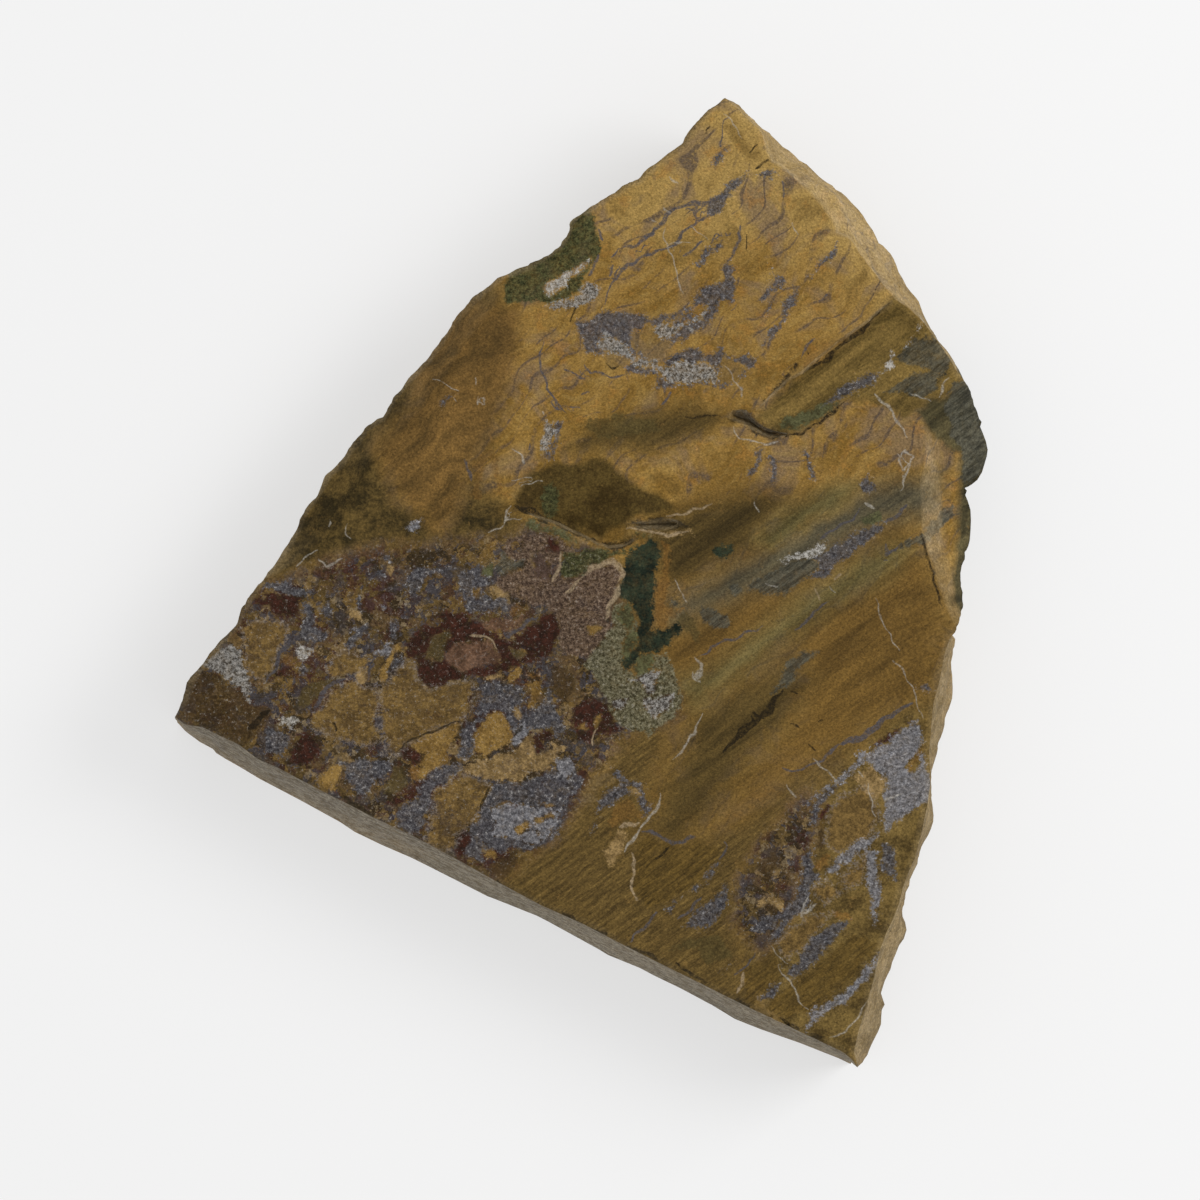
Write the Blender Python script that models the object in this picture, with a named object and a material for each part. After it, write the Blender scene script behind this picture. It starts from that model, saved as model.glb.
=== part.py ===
"""A thick slab of pietersite, a brecciated quartz rock, as it comes off the saw.

One natural piece: a flat sawn underside, one long sawn side, a broad upper face with a few
broken-out ledges and hollows, and fractured sides all the way round elsewhere.
+X is right and +Y is up as the slab is seen from straight above, and +Z is up.
"""

from collections import namedtuple
from math import hypot, sqrt

import bmesh
import bpy
from mathutils import Vector, noise
from mathutils.geometry import delaunay_2d_cdt

MM = 0.001

# Driving sizes, in millimetres. Plan points are measured from the middle of the slab's plan.
THICKNESS = 15.0
COLUMN_STEP = 1.4  # widest spacing of the columns of points round the sides
COLUMN_LEAST = 0.35  # and their narrowest
MESH_STEP = 1.75  # spacing of the points on the upper face
MESH_WOBBLE = 0.3  # how far each of them strays from its place in the rows
CREASE_STEP = 1.6  # spacing of the points along a crease of the upper face
SWELL = 0.12  # how far the upper face rolls up and down
SWELL_SPAN = 11.0

# The plan points were read from straight above, from this height over the upper face and over
# this spot, where a lower edge looks nearer to the spot than it is. true_place puts that right.
READ_FROM = 500.0
READ_OVER = (1.7, -1.8)

# A fall is a stretch of the upper face that slopes down from its gentle line to its deep line.
# Past the deep line the face steps back up within a distance of step.
Fall = namedtuple("Fall", "gentle deep far_end depth curve step ease")

WEST_BEVEL = Fall(
    gentle=[(-6.6, 30.6), (-8.3, 28.0), (-11.2, 24.2), (-13.5, 20.8), (-16.2, 17.0), (-19.4, 13.4),
            (-21.2, 11.8), (-22.6, 9.0), (-24.4, 5.6), (-28.2, 2.2), (-32.2, -0.4)],
    deep=[(-7.6, 32.2), (-11.2, 30.2), (-14.0, 26.8), (-17.3, 22.3), (-21.9, 16.8), (-26.3, 12.3),
          (-29.3, 7.2), (-32.3, 2.2), (-33.9, -0.4)],
    far_end=[], depth=2.9, curve=1.0, step=0.01, ease=(3.0, 4.0))
NOTCH_BEVEL = Fall(
    gentle=[(-7.6, 29.4), (-5.0, 30.4), (-3.0, 31.9), (-1.0, 33.4), (-0.4, 35.4), (0.6, 37.2)],
    deep=[(-8.2, 32.0), (-5.0, 33.8), (-3.6, 34.6), (-2.8, 35.8), (-2.0, 37.4), (0.0, 38.4)],
    far_end=[], depth=1.3, curve=1.0, step=0.01, ease=(2.0, 2.0))
RAMP = Fall(
    gentle=[(18.6, 14.9), (20.6, 14.8), (22.5, 15.7), (24.5, 17.0), (26.5, 18.1), (29.8, 17.8),
            (32.0, 16.5), (34.2, 17.8), (36.0, 19.0), (38.6, 20.2)],
    deep=[(17.1, 16.5), (18.4, 17.9), (20.8, 20.2), (22.1, 20.8), (24.0, 22.5), (26.0, 24.1),
          (28.0, 25.5), (29.4, 26.8), (31.3, 28.2)],
    far_end=[(37.0, 24.0)], depth=1.3, curve=0.8, step=0.4, ease=(3.0, 0.5))
PIT_OUTLINE = [(14.2, 16.5), (15.0, 17.3), (16.3, 17.3), (17.1, 16.5), (18.0, 15.6), (19.2, 15.1),
               (20.8, 14.8), (19.6, 14.4), (18.5, 14.4), (17.2, 15.0), (15.3, 15.9)]
PIT = Fall(
    gentle=PIT_OUTLINE + PIT_OUTLINE[:1], deep=[(15.1, 16.6), (16.6, 16.1), (18.0, 15.1), (19.4, 14.8)],
    far_end=[], depth=1.5, curve=1.0, step=0.01, ease=(0.1, 0.1))
CENTRE_HOLLOW = Fall(
    gentle=[(-6.7, 7.6), (-5.8, 9.0), (-5.4, 10.8), (-3.0, 11.7), (0.0, 11.9), (1.4, 12.3),
            (2.9, 11.9), (3.5, 10.9), (4.8, 10.1), (6.4, 9.2), (9.0, 8.1)],
    deep=[(-6.4, 7.2), (-5.0, 6.9), (-3.5, 6.4), (-2.0, 5.8), (-1.0, 5.3), (0.0, 4.9), (1.2, 4.2),
          (2.6, 3.7), (4.0, 3.9), (5.5, 4.7)],
    far_end=[(5.4, 5.2), (4.2, 6.0), (6.4, 6.6), (8.7, 6.9)], depth=1.4, curve=1.2, step=0.4,
    ease=(4.0, 1.5))
SLOT_OUTLINE = [(4.0, 5.7), (6.0, 6.2), (8.3, 6.6), (10.9, 5.8), (9.5, 5.4), (7.5, 4.9), (5.5, 5.3)]
SLOT = Fall(
    gentle=SLOT_OUTLINE + SLOT_OUTLINE[:1], deep=[(5.4, 5.7), (7.5, 5.8), (9.4, 5.8)],
    far_end=[], depth=1.0, curve=1.0, step=0.01, ease=(0.1, 0.1))
EAST_CORNER = Fall(
    gentle=[(38.4, 20.3), (36.4, 19.0), (34.8, 17.9), (33.5, 17.1), (34.2, 14.6), (34.1, 12.0),
            (33.6, 10.0), (33.8, 5.2), (34.9, 1.2), (35.6, -0.8), (36.3, -2.8), (37.4, -5.0)],
    deep=[(40.0, 21.0), (40.6, 18.0), (41.6, 15.4), (42.0, 13.0), (41.2, 10.4), (39.8, 8.8),
          (39.9, 6.2), (39.6, 3.0), (39.1, 0.2), (39.1, -2.3), (38.4, -5.6)],
    far_end=[], depth=5.4, curve=1.0, step=0.01, ease=(3.0, 4.0))
EAST_SCOOP_OUTLINE = [(34.6, 14.8), (34.1, 12.0), (33.8, 10.0), (33.9, 5.2), (34.9, 1.2), (36.2, -1.4),
                      (37.1, 1.0), (37.5, 5.0), (37.7, 9.0), (37.2, 13.0), (36.4, 15.2)]
EAST_SCOOP = Fall(
    gentle=EAST_SCOOP_OUTLINE + EAST_SCOOP_OUTLINE[:1], deep=[(35.6, 12.6), (36.0, 8.0), (36.0, 4.0)],
    far_end=[], depth=1.0, curve=0.7, step=0.01, ease=(0.1, 0.1))
FALLS = [WEST_BEVEL, NOTCH_BEVEL, RAMP, PIT, CENTRE_HOLLOW, SLOT, EAST_CORNER, EAST_SCOOP]

# The sides, anticlockwise from the top corner. Each side has the line where the upper face ends,
# and the line of its brow, which stands out furthest. Where two facets lie between the two, a ridge
# parts them. A side with no brow of its own drops almost straight from the edge. foot_in is how far
# the brow stands out over the foot.
Side = namedtuple("Side", "edge ridge ridge_height brow brow_height foot_in")

NORTH_WEST = Side([
    (14.2, 48.5), (12.8, 47.3), (11.2, 45.8), (10.0, 43.9), (8.3, 42.7), (5.4, 40.4), (3.4, 39.2),
    (1.2, 37.8), (0.0, 37.1), (-1.4, 36.1), (-1.6, 34.9), (-2.3, 33.7), (-2.8, 33.3), (-4.3, 32.4),
    (-6.3, 31.4), (-7.8, 30.7)], None, 0.0, None, 10.5, 1.6)
WEST = Side([
    (-7.8, 30.7), (-10.3, 29.0), (-11.2, 28.2), (-12.1, 27.2), (-13.1, 26.0), (-13.9, 24.6),
    (-15.4, 22.4), (-17.7, 20.0), (-19.1, 18.2), (-20.1, 16.6), (-21.8, 15.3), (-22.2, 14.8),
    (-24.1, 12.3), (-25.3, 11.1), (-26.6, 8.8), (-28.3, 6.2), (-29.4, 3.7), (-31.3, 1.2),
    (-32.8, -0.8), (-34.2, -2.6), (-34.6, -4.1), (-36.3, -5.9), (-38.3, -8.5), (-39.5, -9.8),
    (-40.0, -11.9), (-40.7, -13.5)], None, 0.0, None, 9.0, 2.2)
SAWN = Side([
    (-40.7, -13.5), (-39.9, -14.2), (-37.8, -14.5), (-36.3, -15.4), (-34.3, -16.3), (-32.5, -17.7),
    (-30.6, -18.5), (-28.3, -19.7), (-24.3, -21.8), (-20.3, -23.8), (-16.3, -25.7), (-12.6, -27.7),
    (-8.3, -30.1), (-4.2, -32.3), (-0.3, -34.0), (3.7, -36.1), (7.7, -38.1), (11.7, -40.1),
    (15.5, -42.0), (19.7, -44.0), (23.7, -45.9), (26.0, -47.0), (27.0, -47.8), (27.4, -48.5)],
    None, 0.0, [
    (-40.5, -14.1), (-39.6, -15.1), (-38.3, -16.0), (-37.0, -16.7), (-36.6, -17.2), (-34.3, -18.5),
    (-32.3, -19.7), (-28.3, -21.8), (-24.3, -24.0), (-22.8, -25.0), (-20.1, -26.3), (-17.1, -27.6),
    (-14.3, -29.0), (-9.6, -31.4), (-8.3, -31.9), (-4.3, -33.5), (-2.3, -34.6), (1.7, -36.8),
    (2.5, -37.3), (5.7, -38.6), (7.2, -39.4), (9.7, -40.6), (12.9, -42.3), (15.2, -43.7),
    (17.7, -44.7), (21.7, -46.1), (25.5, -47.6), (27.4, -48.5)], 0.0, 0.0)
SOUTH_EAST = Side([
    (27.4, -48.5), (27.1, -47.0), (27.4, -45.4), (27.8, -43.8), (28.3, -42.0), (28.8, -40.4),
    (29.3, -38.6), (29.7, -37.0), (30.2, -35.4), (31.0, -33.8), (31.6, -32.2), (32.0, -30.4),
    (32.7, -28.8), (33.2, -27.6), (33.6, -26.2), (34.0, -24.6), (34.4, -22.6), (34.6, -21.2),
    (34.8, -19.6)], [
    (27.4, -48.5), (27.7, -46.6), (28.5, -44.6), (29.2, -42.0), (29.6, -40.4), (30.0, -38.6),
    (30.4, -37.0), (30.9, -35.2), (31.5, -33.2), (32.0, -31.4), (32.5, -29.6), (33.0, -28.2),
    (33.8, -26.0), (34.4, -24.6), (34.9, -23.2), (34.7, -21.6), (34.9, -20.6), (35.0, -19.5)], 10.5, [
    (27.4, -48.5), (28.2, -47.6), (29.7, -44.9), (30.2, -42.8), (30.4, -41.8), (30.1, -41.2),
    (30.7, -39.4), (31.1, -38.0), (31.6, -37.2), (31.7, -36.3), (32.4, -34.8), (31.9, -33.0),
    (32.2, -31.6), (32.8, -30.2), (33.3, -28.6), (34.0, -26.6), (34.1, -25.8), (35.0, -24.4),
    (35.3, -23.4), (34.9, -21.8), (34.9, -20.8), (35.1, -19.4)], 6.5, 1.2)
EAST = Side([
    (34.8, -19.6), (34.6, -17.4), (34.8, -15.6), (34.9, -13.6), (35.1, -12.0), (35.5, -10.4),
    (35.9, -8.6), (36.2, -7.0), (36.7, -5.6), (37.4, -4.8)], [
    (35.0, -19.5), (34.9, -17.2), (35.1, -15.4), (35.4, -13.4), (35.8, -11.6), (36.2, -9.8),
    (36.5, -8.0), (36.8, -6.4), (37.4, -4.8)], 11.0, [
    (35.1, -19.4), (35.7, -16.6), (36.3, -15.0), (36.7, -13.3), (37.4, -11.6), (37.0, -9.8),
    (36.9, -8.0), (37.3, -6.4), (37.5, -4.8)], 6.0, 1.0)
EAST_CORNER_SIDE = Side([
    (37.4, -4.8), (38.0, -2.3), (37.8, 0.2), (38.1, 3.0), (38.7, 4.1), (38.9, 6.2), (38.5, 8.2),
    (38.2, 9.4), (39.4, 10.2), (40.0, 10.9), (40.2, 11.9), (40.7, 13.2), (40.2, 15.0), (39.2, 17.7),
    (38.9, 19.0), (38.2, 20.1)], None, 0.0, None, 6.5, 1.4)
NORTH_EAST = Side([
    (38.2, 20.1), (37.2, 21.4), (36.0, 23.3), (35.0, 24.7), (33.9, 26.2), (32.6, 27.3), (31.1, 28.3),
    (29.8, 30.0), (28.6, 31.6), (27.6, 32.8), (26.8, 34.1), (25.2, 34.8), (24.8, 36.0), (23.7, 37.6),
    (22.0, 39.5), (20.0, 41.2), (18.7, 41.9), (18.1, 43.2), (17.9, 44.9), (16.1, 46.7), (14.2, 48.5)], [
    (38.3, 20.1), (37.4, 21.7), (36.1, 23.6), (34.2, 26.4), (33.2, 27.9), (31.9, 29.4), (30.3, 31.2),
    (28.9, 33.1), (27.7, 34.6), (26.9, 36.2), (26.3, 37.7), (25.4, 38.8), (23.5, 40.0), (21.6, 41.5),
    (19.6, 43.0), (18.8, 44.4), (17.2, 46.0), (15.3, 47.7), (14.3, 48.5)], 11.8, [
    (38.5, 20.0), (37.7, 21.7), (36.2, 23.8), (34.4, 26.5), (33.9, 28.1), (32.7, 29.6), (30.7, 33.2),
    (29.5, 34.5), (28.6, 36.0), (27.2, 38.2), (25.8, 39.4), (23.9, 40.7), (22.4, 41.9), (20.1, 43.9),
    (19.2, 44.8), (17.7, 45.8), (16.2, 46.8), (15.4, 47.8), (14.4, 48.6)], 7.5, 1.5)
SIDES = [NORTH_WEST, WEST, SAWN, SOUTH_EAST, EAST, EAST_CORNER_SIDE, NORTH_EAST]

# A column is one line of points down a side, from the upper face's edge to the foot.
Column = namedtuple("Column", "side edge ridge brow brow_height foot out")
UNDER_SHARES = (0.25, 0.5, 0.75)  # rows between brow and foot, as shares of the way down
BROW_SET_BACK = 0.25  # a side with no brow of its own leans in by this much to mid height
BROW_LEAST = 2.0  # the brow stays at least this far under the edge
BROW_WANDER = 1.3  # how far brow and ridge wander up and down
WANDER_SPAN = 4.1
EVEN_REACH = 3  # columns on each side that the foot and the outward directions are evened over

# The broken sides carry shell-shaped scars that meet in ridges.
SCAR_SPAN = 8.0  # width of a scar
SCAR_SQUAT = 1.35  # its width over its height
SCAR_DEPTH = 1.9
SCAR_REACH = 0.85  # share of SCAR_SPAN at which a scar runs out
# How much of a scar's depth shows in each row under the edge. A brow and its ridge were read.
BROWED_SCARS = (0.2, 0.2, 0.2, 0.2, 0.6, 1.0, 0.8, 0.5)
PLAIN_SCARS = (0.7, 1.0, 1.0, 1.0, 1.0, 1.0, 0.8, 0.5)

RIM_LEAST = 0.55  # a crease point nearer than this to the edge of the face joins the edge
NEAR_LEAST = 0.62  # share of MESH_STEP that is kept clear round creases and edge


def true_place(x, y, z):
    """The real place, in metres, of a point that was read at (x, y) and lies at height z."""
    spread = 1 + (THICKNESS - z) / READ_FROM
    return Vector((
        MM * (READ_OVER[0] + (x - READ_OVER[0]) * spread),
        MM * (READ_OVER[1] + (y - READ_OVER[1]) * spread),
        MM * z,
    ))


def lengths(line):
    """The distance of each point of a line from its start, along the line."""
    total = [0.0]
    for (ax, ay), (bx, by) in zip(line, line[1:]):
        total.append(total[-1] + hypot(bx - ax, by - ay))
    return total


def point_at(line, total, where):
    """The point of a line at a distance from its start."""
    for i in range(len(line) - 1):
        if where <= total[i + 1] or i == len(line) - 2:
            share = (where - total[i]) / (total[i + 1] - total[i])
            return (line[i][0] + (line[i + 1][0] - line[i][0]) * share,
                    line[i][1] + (line[i + 1][1] - line[i][1]) * share)


def even(line, step):
    """The line's own points, with more between them so that no gap is over step."""
    out = []
    for (ax, ay), (bx, by) in zip(line, line[1:]):
        parts = max(1, round(hypot(bx - ax, by - ay) / step))
        out += [(ax + (bx - ax) * i / parts, ay + (by - ay) * i / parts) for i in range(parts)]
    return out + [line[-1]]


def nearest(line, x, y):
    """(distance, distance along the line) of the line's nearest point."""
    best, where, run = 1e9, 0.0, 0.0
    for (ax, ay), (bx, by) in zip(line, line[1:]):
        dx, dy = bx - ax, by - ay
        length = hypot(dx, dy)
        share = ((x - ax) * dx + (y - ay) * dy) / (length * length)
        share = min(max(share, 0.0), 1.0)
        gap = hypot(x - ax - dx * share, y - ay - dy * share)
        if gap < best:
            best, where = gap, run + length * share
        run += length
    return best, where


def inside(polygon, x, y):
    """Whether a point lies in a polygon."""
    odd = False
    for (ax, ay), (bx, by) in zip(polygon, polygon[1:] + polygon[:1]):
        if (ay > y) != (by > y) and x < ax + (bx - ax) * (y - ay) / (by - ay):
            odd = not odd
    return odd


def fall_at(fall, x, y):
    """How far a fall lowers the upper face at a point."""
    deep_gap, where = nearest(fall.deep, x, y)
    whole = lengths(fall.deep)[-1]
    depth = fall.depth * min(1.0, where / fall.ease[0]) * min(1.0, (whole - where) / fall.ease[1])
    if fall.gentle[0] == fall.gentle[-1]:
        zone = fall.gentle[:-1]
        depth = fall.depth
    else:
        zone = fall.gentle + fall.far_end[::-1] + fall.deep[::-1]
    if inside(zone, x, y):
        gentle_gap = nearest(fall.gentle, x, y)[0]
        share = gentle_gap / max(gentle_gap + deep_gap, 1e-6)
        return depth * share ** fall.curve
    return depth * max(0.0, 1 - deep_gap / fall.step)


def top_height(x, y):
    """The height of the upper face at a point."""
    swell = SWELL * noise.noise(Vector((x / SWELL_SPAN, y / SWELL_SPAN, 3.7)))
    return THICKNESS + swell - sum(fall_at(fall, x, y) for fall in FALLS)


def sidestep(line, gap, away_from):
    """The line moved sideways by gap, to the side where the zone away_from isn't."""
    out = []
    for i, (x, y) in enumerate(line):
        ax, ay = line[max(i - 1, 0)]
        bx, by = line[min(i + 1, len(line) - 1)]
        length = hypot(bx - ax, by - ay)
        nx, ny = (by - ay) / length, (ax - bx) / length
        sign = -1 if inside(away_from, x + 0.1 * nx, y + 0.1 * ny) else 1
        out.append((x + sign * gap * nx, y + sign * gap * ny))
    return out


def matched(lines, step):
    """Several lines cut at the same shares of their lengths, keeping the corners of each."""
    totals = [lengths(line) for line in lines]
    shares = sorted({0.0, 1.0} | {run / total[-1] for total in totals for run in total})
    least = COLUMN_LEAST / totals[0][-1]
    kept = [0.0]
    for share in shares[1:-1]:
        if share - kept[-1] > least and 1.0 - share > least:
            kept.append(share)
    kept.append(1.0)
    filled = []
    for a, b in zip(kept, kept[1:]):
        parts = max(1, round((b - a) * totals[0][-1] / step))
        filled += [a + (b - a) * i / parts for i in range(parts)]
    return [[point_at(line, total, share * total[-1]) for share in filled]
            for line, total in zip(lines, totals)]


def outward(ring):
    """The outward direction at each point of an anticlockwise ring, evened over its neighbours."""
    count = len(ring)
    found = []
    for i in range(count):
        ax, ay = ring[i - EVEN_REACH]
        bx, by = ring[(i + EVEN_REACH) % count]
        length = hypot(bx - ax, by - ay)
        found.append(((by - ay) / length, (ax - bx) / length))
    return found


def evened(values):
    """Each value of a ring averaged with its near neighbours."""
    count = len(values)
    span = range(-EVEN_REACH, EVEN_REACH + 1)
    return [sum(values[(i + k) % count] for k in span) / len(span) for i in range(count)]


def shifted(place, out, distance):
    """A plan point moved along the outward direction."""
    return place[0] + distance * out[0], place[1] + distance * out[1]


def scarred(place, out, share):
    """A point of a broken side, in millimetres, pushed in by a share of the scar it lies in."""
    x, y, z = place
    gaps, _ = noise.voronoi(Vector((x, y, z * SCAR_SQUAT)) / SCAR_SPAN)
    depth = SCAR_DEPTH * max(0.0, 1 - (gaps[0] / SCAR_REACH) ** 2)
    return *shifted((x, y), out, -share * depth), z


def side_columns():
    """The columns of points round the sides, in the order of the sides."""
    found = []
    for side in SIDES:
        brow = side.brow or side.edge
        lines = matched([side.edge, brow, side.ridge or brow], COLUMN_STEP)
        found += [(side, *places) for places in zip(*lines)]
    out = outward([edge for _, edge, _, _ in found])
    heights = evened([side.brow_height for side, _, _, _ in found])
    insets = evened([side.foot_in for side, _, _, _ in found])
    brows = [shifted(brow, way, 0.0 if side.brow else -BROW_SET_BACK)
             for (side, _, brow, _), way in zip(found, out)]
    feet = [shifted(brow, way, -inset) for brow, way, inset in zip(brows, out, insets)]
    feet = zip(evened([x for x, _ in feet]), evened([y for _, y in feet]))
    return [Column(side, edge, ridge, brow, height, foot, way)
            for (side, edge, _, ridge), brow, height, foot, way in zip(found, brows, heights, feet, out)]


def side_rings():
    """(the upper face's edge in plan, the rings of points round the sides from the edge down)."""
    columns = side_columns()
    rings = [[] for _ in range(1 + len(PLAIN_SCARS))]
    for column in columns:
        top = (*column.edge, top_height(*column.edge))
        if column.side is SAWN:
            rows = sawn_column(top, column.brow, len(rings))
        else:
            rows = broken_column(top, column)
        for ring, row in zip(rings, rows):
            ring.append(row)
    return [column.edge for column in columns], rings


def sawn_column(top, foot, rows):
    """One column of points down the sawn side, in metres: straight from the edge to the foot."""
    a, b = true_place(*top), true_place(*foot, 0.0)
    return [a.lerp(b, row / (rows - 1)) for row in range(rows)]


def between(a, b, share):
    """The point a share of the way from a to b."""
    return tuple((1 - share) * p + share * q for p, q in zip(a, b))


def broken_column(top, column):
    """One column of points down a broken side, in metres."""
    x, y, z = top
    wander = BROW_WANDER * noise.noise(Vector((x / WANDER_SPAN, y / WANDER_SPAN, 9.3)))
    brow = (*column.brow, min(column.brow_height + wander, z - BROW_LEAST))
    if column.side.ridge:
        ridge = (*column.ridge, column.side.ridge_height + wander / 2)
    else:
        ridge = between(top, brow, 0.5)
    foot = (*column.foot, 0.0)
    rows = [between(top, ridge, 0.5), ridge, between(ridge, brow, 0.5), brow]
    rows += [between(brow, foot, share) for share in UNDER_SHARES]
    rows.append(foot)
    shares = BROWED_SCARS if column.side.brow else PLAIN_SCARS
    scars = [scarred(row, column.out, share) for row, share in zip(rows, shares)]
    return [true_place(*row) for row in [top, *scars]]


def crease_lines(edge):
    """The creases of the upper face, with ends at the edge joined to a point of the edge."""
    lines = []
    for fall in FALLS:
        deep = even(fall.deep, CREASE_STEP)
        lines += [even(fall.gentle, CREASE_STEP), deep]
        if fall.step > 0.1:
            zone = fall.gentle + fall.far_end[::-1] + fall.deep[::-1]
            lines.append(sidestep(deep, fall.step, zone))
    kept = []
    for line in lines:
        run = []
        for x, y in line:
            gap, rim = min((hypot(x - ex, y - ey), k) for k, (ex, ey) in enumerate(edge))
            clear = inside(edge, x, y) and nearest(edge + edge[:1], x, y)[0] > RIM_LEAST
            if clear:
                run.append((x, y))
            elif gap < 2 * CREASE_STEP and (not run or run[-1] != rim):
                run.append(rim)
        kept.append(run)
    return kept


def upper_face(edge):
    """(points read in plan, triangles) of the upper face. The first points are the edge's own."""
    points = list(edge)
    links = []
    placed = {}
    for line in crease_lines(edge):
        last = None
        for item in line:
            if isinstance(item, int):
                index = item
            else:
                key = (round(item[0], 2), round(item[1], 2))
                index = placed.setdefault(key, len(points))
                if index == len(points):
                    points.append(item)
            on_edge = last is not None and last < len(edge) and index < len(edge)
            if last is not None and last != index and not on_edge:
                links.append((last, index))
            last = index
    guards = list(points)
    clear = NEAR_LEAST * MESH_STEP
    left, low = (min(p[k] for p in edge) for k in (0, 1))
    right, high = (max(p[k] for p in edge) for k in (0, 1))
    row_step = MESH_STEP * sqrt(3) / 2
    for row in range(int((high - low) / row_step) + 1):
        y = low + row * row_step
        for column in range(int((right - left) / MESH_STEP) + 1):
            x = left + (column + 0.5 * (row % 2)) * MESH_STEP
            wobble = MESH_WOBBLE * noise.noise_vector(Vector((x, y, 1.3)))
            px, py = x + wobble[0], y + wobble[1]
            if not inside(edge, px, py):
                continue
            if min((px - gx) ** 2 + (py - gy) ** 2 for gx, gy in guards) > clear * clear:
                points.append((px, py))
    coords = [Vector(p) for p in points]
    ring = [list(range(len(edge)))]
    found = delaunay_2d_cdt(coords, links, ring, 1, 1e-5)
    return [(v.x, v.y) for v in found[0]], found[2], found[3]


def build_slab():
    """The whole slab as one closed mesh."""
    edge, rings = side_rings()
    mesh = bmesh.new()
    rows = [[mesh.verts.new(place) for place in ring] for ring in rings]
    count = len(edge)
    for upper, lower in zip(rows, rows[1:]):
        for i in range(count):
            j = (i + 1) % count
            mesh.faces.new((upper[i], lower[i], lower[j], upper[j]))
    mesh.faces.new(rows[-1][::-1])
    flat, triangles, sources = upper_face(edge)
    placed = []
    for (x, y), source in zip(flat, sources):
        on_edge = [k for k in source if k < count]
        if on_edge:
            placed.append(rows[0][on_edge[0]])
        else:
            placed.append(mesh.verts.new(true_place(x, y, top_height(x, y))))
    for corners in triangles:
        mesh.faces.new([placed[k] for k in corners])
    bmesh.ops.triangulate(mesh, faces=[f for f in mesh.faces if len(f.verts) > 3])
    bmesh.ops.recalc_face_normals(mesh, faces=mesh.faces)
    return mesh


def stone():
    """Ochre jasper with a soft polish."""
    material = bpy.data.materials.new("pietersite")
    material.use_nodes = True
    shader = material.node_tree.nodes["Principled BSDF"]
    shader.inputs["Base Color"].default_value = (0.26, 0.16, 0.05, 1.0)
    shader.inputs["Roughness"].default_value = 0.55
    shader.inputs["Metallic"].default_value = 0.0
    return material


def centre_on_origin(mesh):
    """Moves the mesh so that the middle of its box's underside is the origin."""
    for axis in (0, 1):
        low = min(v.co[axis] for v in mesh.verts)
        high = max(v.co[axis] for v in mesh.verts)
        for vert in mesh.verts:
            vert.co[axis] -= (low + high) / 2


def main():
    for old in list(bpy.data.objects):
        bpy.data.objects.remove(old)
    mesh = build_slab()
    centre_on_origin(mesh)
    data = bpy.data.meshes.new("slab")
    mesh.to_mesh(data)
    mesh.free()
    data.materials.append(stone())
    slab = bpy.data.objects.new("slab", data)
    bpy.context.scene.collection.objects.link(slab)


main()
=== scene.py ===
"""The looks of a thick slab of pietersite, a brecciated quartz rock, lying on a pale floor.

Sizes are in millimetres and are turned to metres where a mesh or an object is made.
"""

import bmesh
import bpy
import numpy as np
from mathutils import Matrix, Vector, noise


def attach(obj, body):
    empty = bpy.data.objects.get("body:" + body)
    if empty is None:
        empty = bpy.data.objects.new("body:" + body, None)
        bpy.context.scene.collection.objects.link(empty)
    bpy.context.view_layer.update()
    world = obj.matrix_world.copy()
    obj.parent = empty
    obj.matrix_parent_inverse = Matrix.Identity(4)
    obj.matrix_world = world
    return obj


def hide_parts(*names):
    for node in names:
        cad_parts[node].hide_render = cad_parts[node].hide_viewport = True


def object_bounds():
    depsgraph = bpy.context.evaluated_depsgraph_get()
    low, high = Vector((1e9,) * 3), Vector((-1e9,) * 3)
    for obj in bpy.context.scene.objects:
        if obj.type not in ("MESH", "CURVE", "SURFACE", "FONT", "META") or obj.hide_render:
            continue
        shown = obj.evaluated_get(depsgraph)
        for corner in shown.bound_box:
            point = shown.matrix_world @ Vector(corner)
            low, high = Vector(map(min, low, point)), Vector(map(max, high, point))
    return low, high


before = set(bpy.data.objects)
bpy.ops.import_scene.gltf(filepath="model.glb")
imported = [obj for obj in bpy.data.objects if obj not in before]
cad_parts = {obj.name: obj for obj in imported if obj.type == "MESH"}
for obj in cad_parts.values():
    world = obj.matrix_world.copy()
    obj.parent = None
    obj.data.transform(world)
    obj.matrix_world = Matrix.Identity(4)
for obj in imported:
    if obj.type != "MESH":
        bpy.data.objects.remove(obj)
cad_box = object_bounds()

MM = 0.001
THICKNESS = 15.0
FACE_EDGE = 0.46  # the longest edge left on the upper face
SIDE_EDGE = 1.1
UNDER_EDGE = 2.6
FACE_FROM = 10.8  # everything above this height counts as upper face
LOW_EDGES = 0.05  # edges below this height count as the underside's
LOW_POINTS = 0.02  # points below this height lie on the underside
SAME_POINT = 0.0005
CREASE_TURN = 0.42  # a sharper turn than this, in radians, stays a crease
CREASE_HOLD = 0.02  # how much an edge that only touches a crease pulls on its ends
EASE_SHARE = 0.5  # how far a point moves in each round, towards the mean of its neighbours
EASE_ROUNDS = 14
SIDE_ROUNDS = 1
DIVIDE_ROUNDS = 7
SAWN_FACING = np.array((-0.455, -0.89, 0.0))  # the way that the sawn side faces
SAWN_FROM = 0.72
SAWN_SOFTNESS = 0.2
STEEP_FROM = 0.86  # a point whose normal rises less than this starts to count as side
STEEP_SOFTNESS = 0.4
CHIP_SPAN = 1.7
CHIP_DEPTH = 0.2
CHIP_NOISE = (0.8, 2.1, 4)  # how fast the finer noise fades, how much finer each layer is, and how many
RIPPLE_SPAN = 4.3
RIPPLE_DEPTH = 0.16
RIPPLE_SQUASH = 1.6
SAW_SPAN = 0.9
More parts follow.
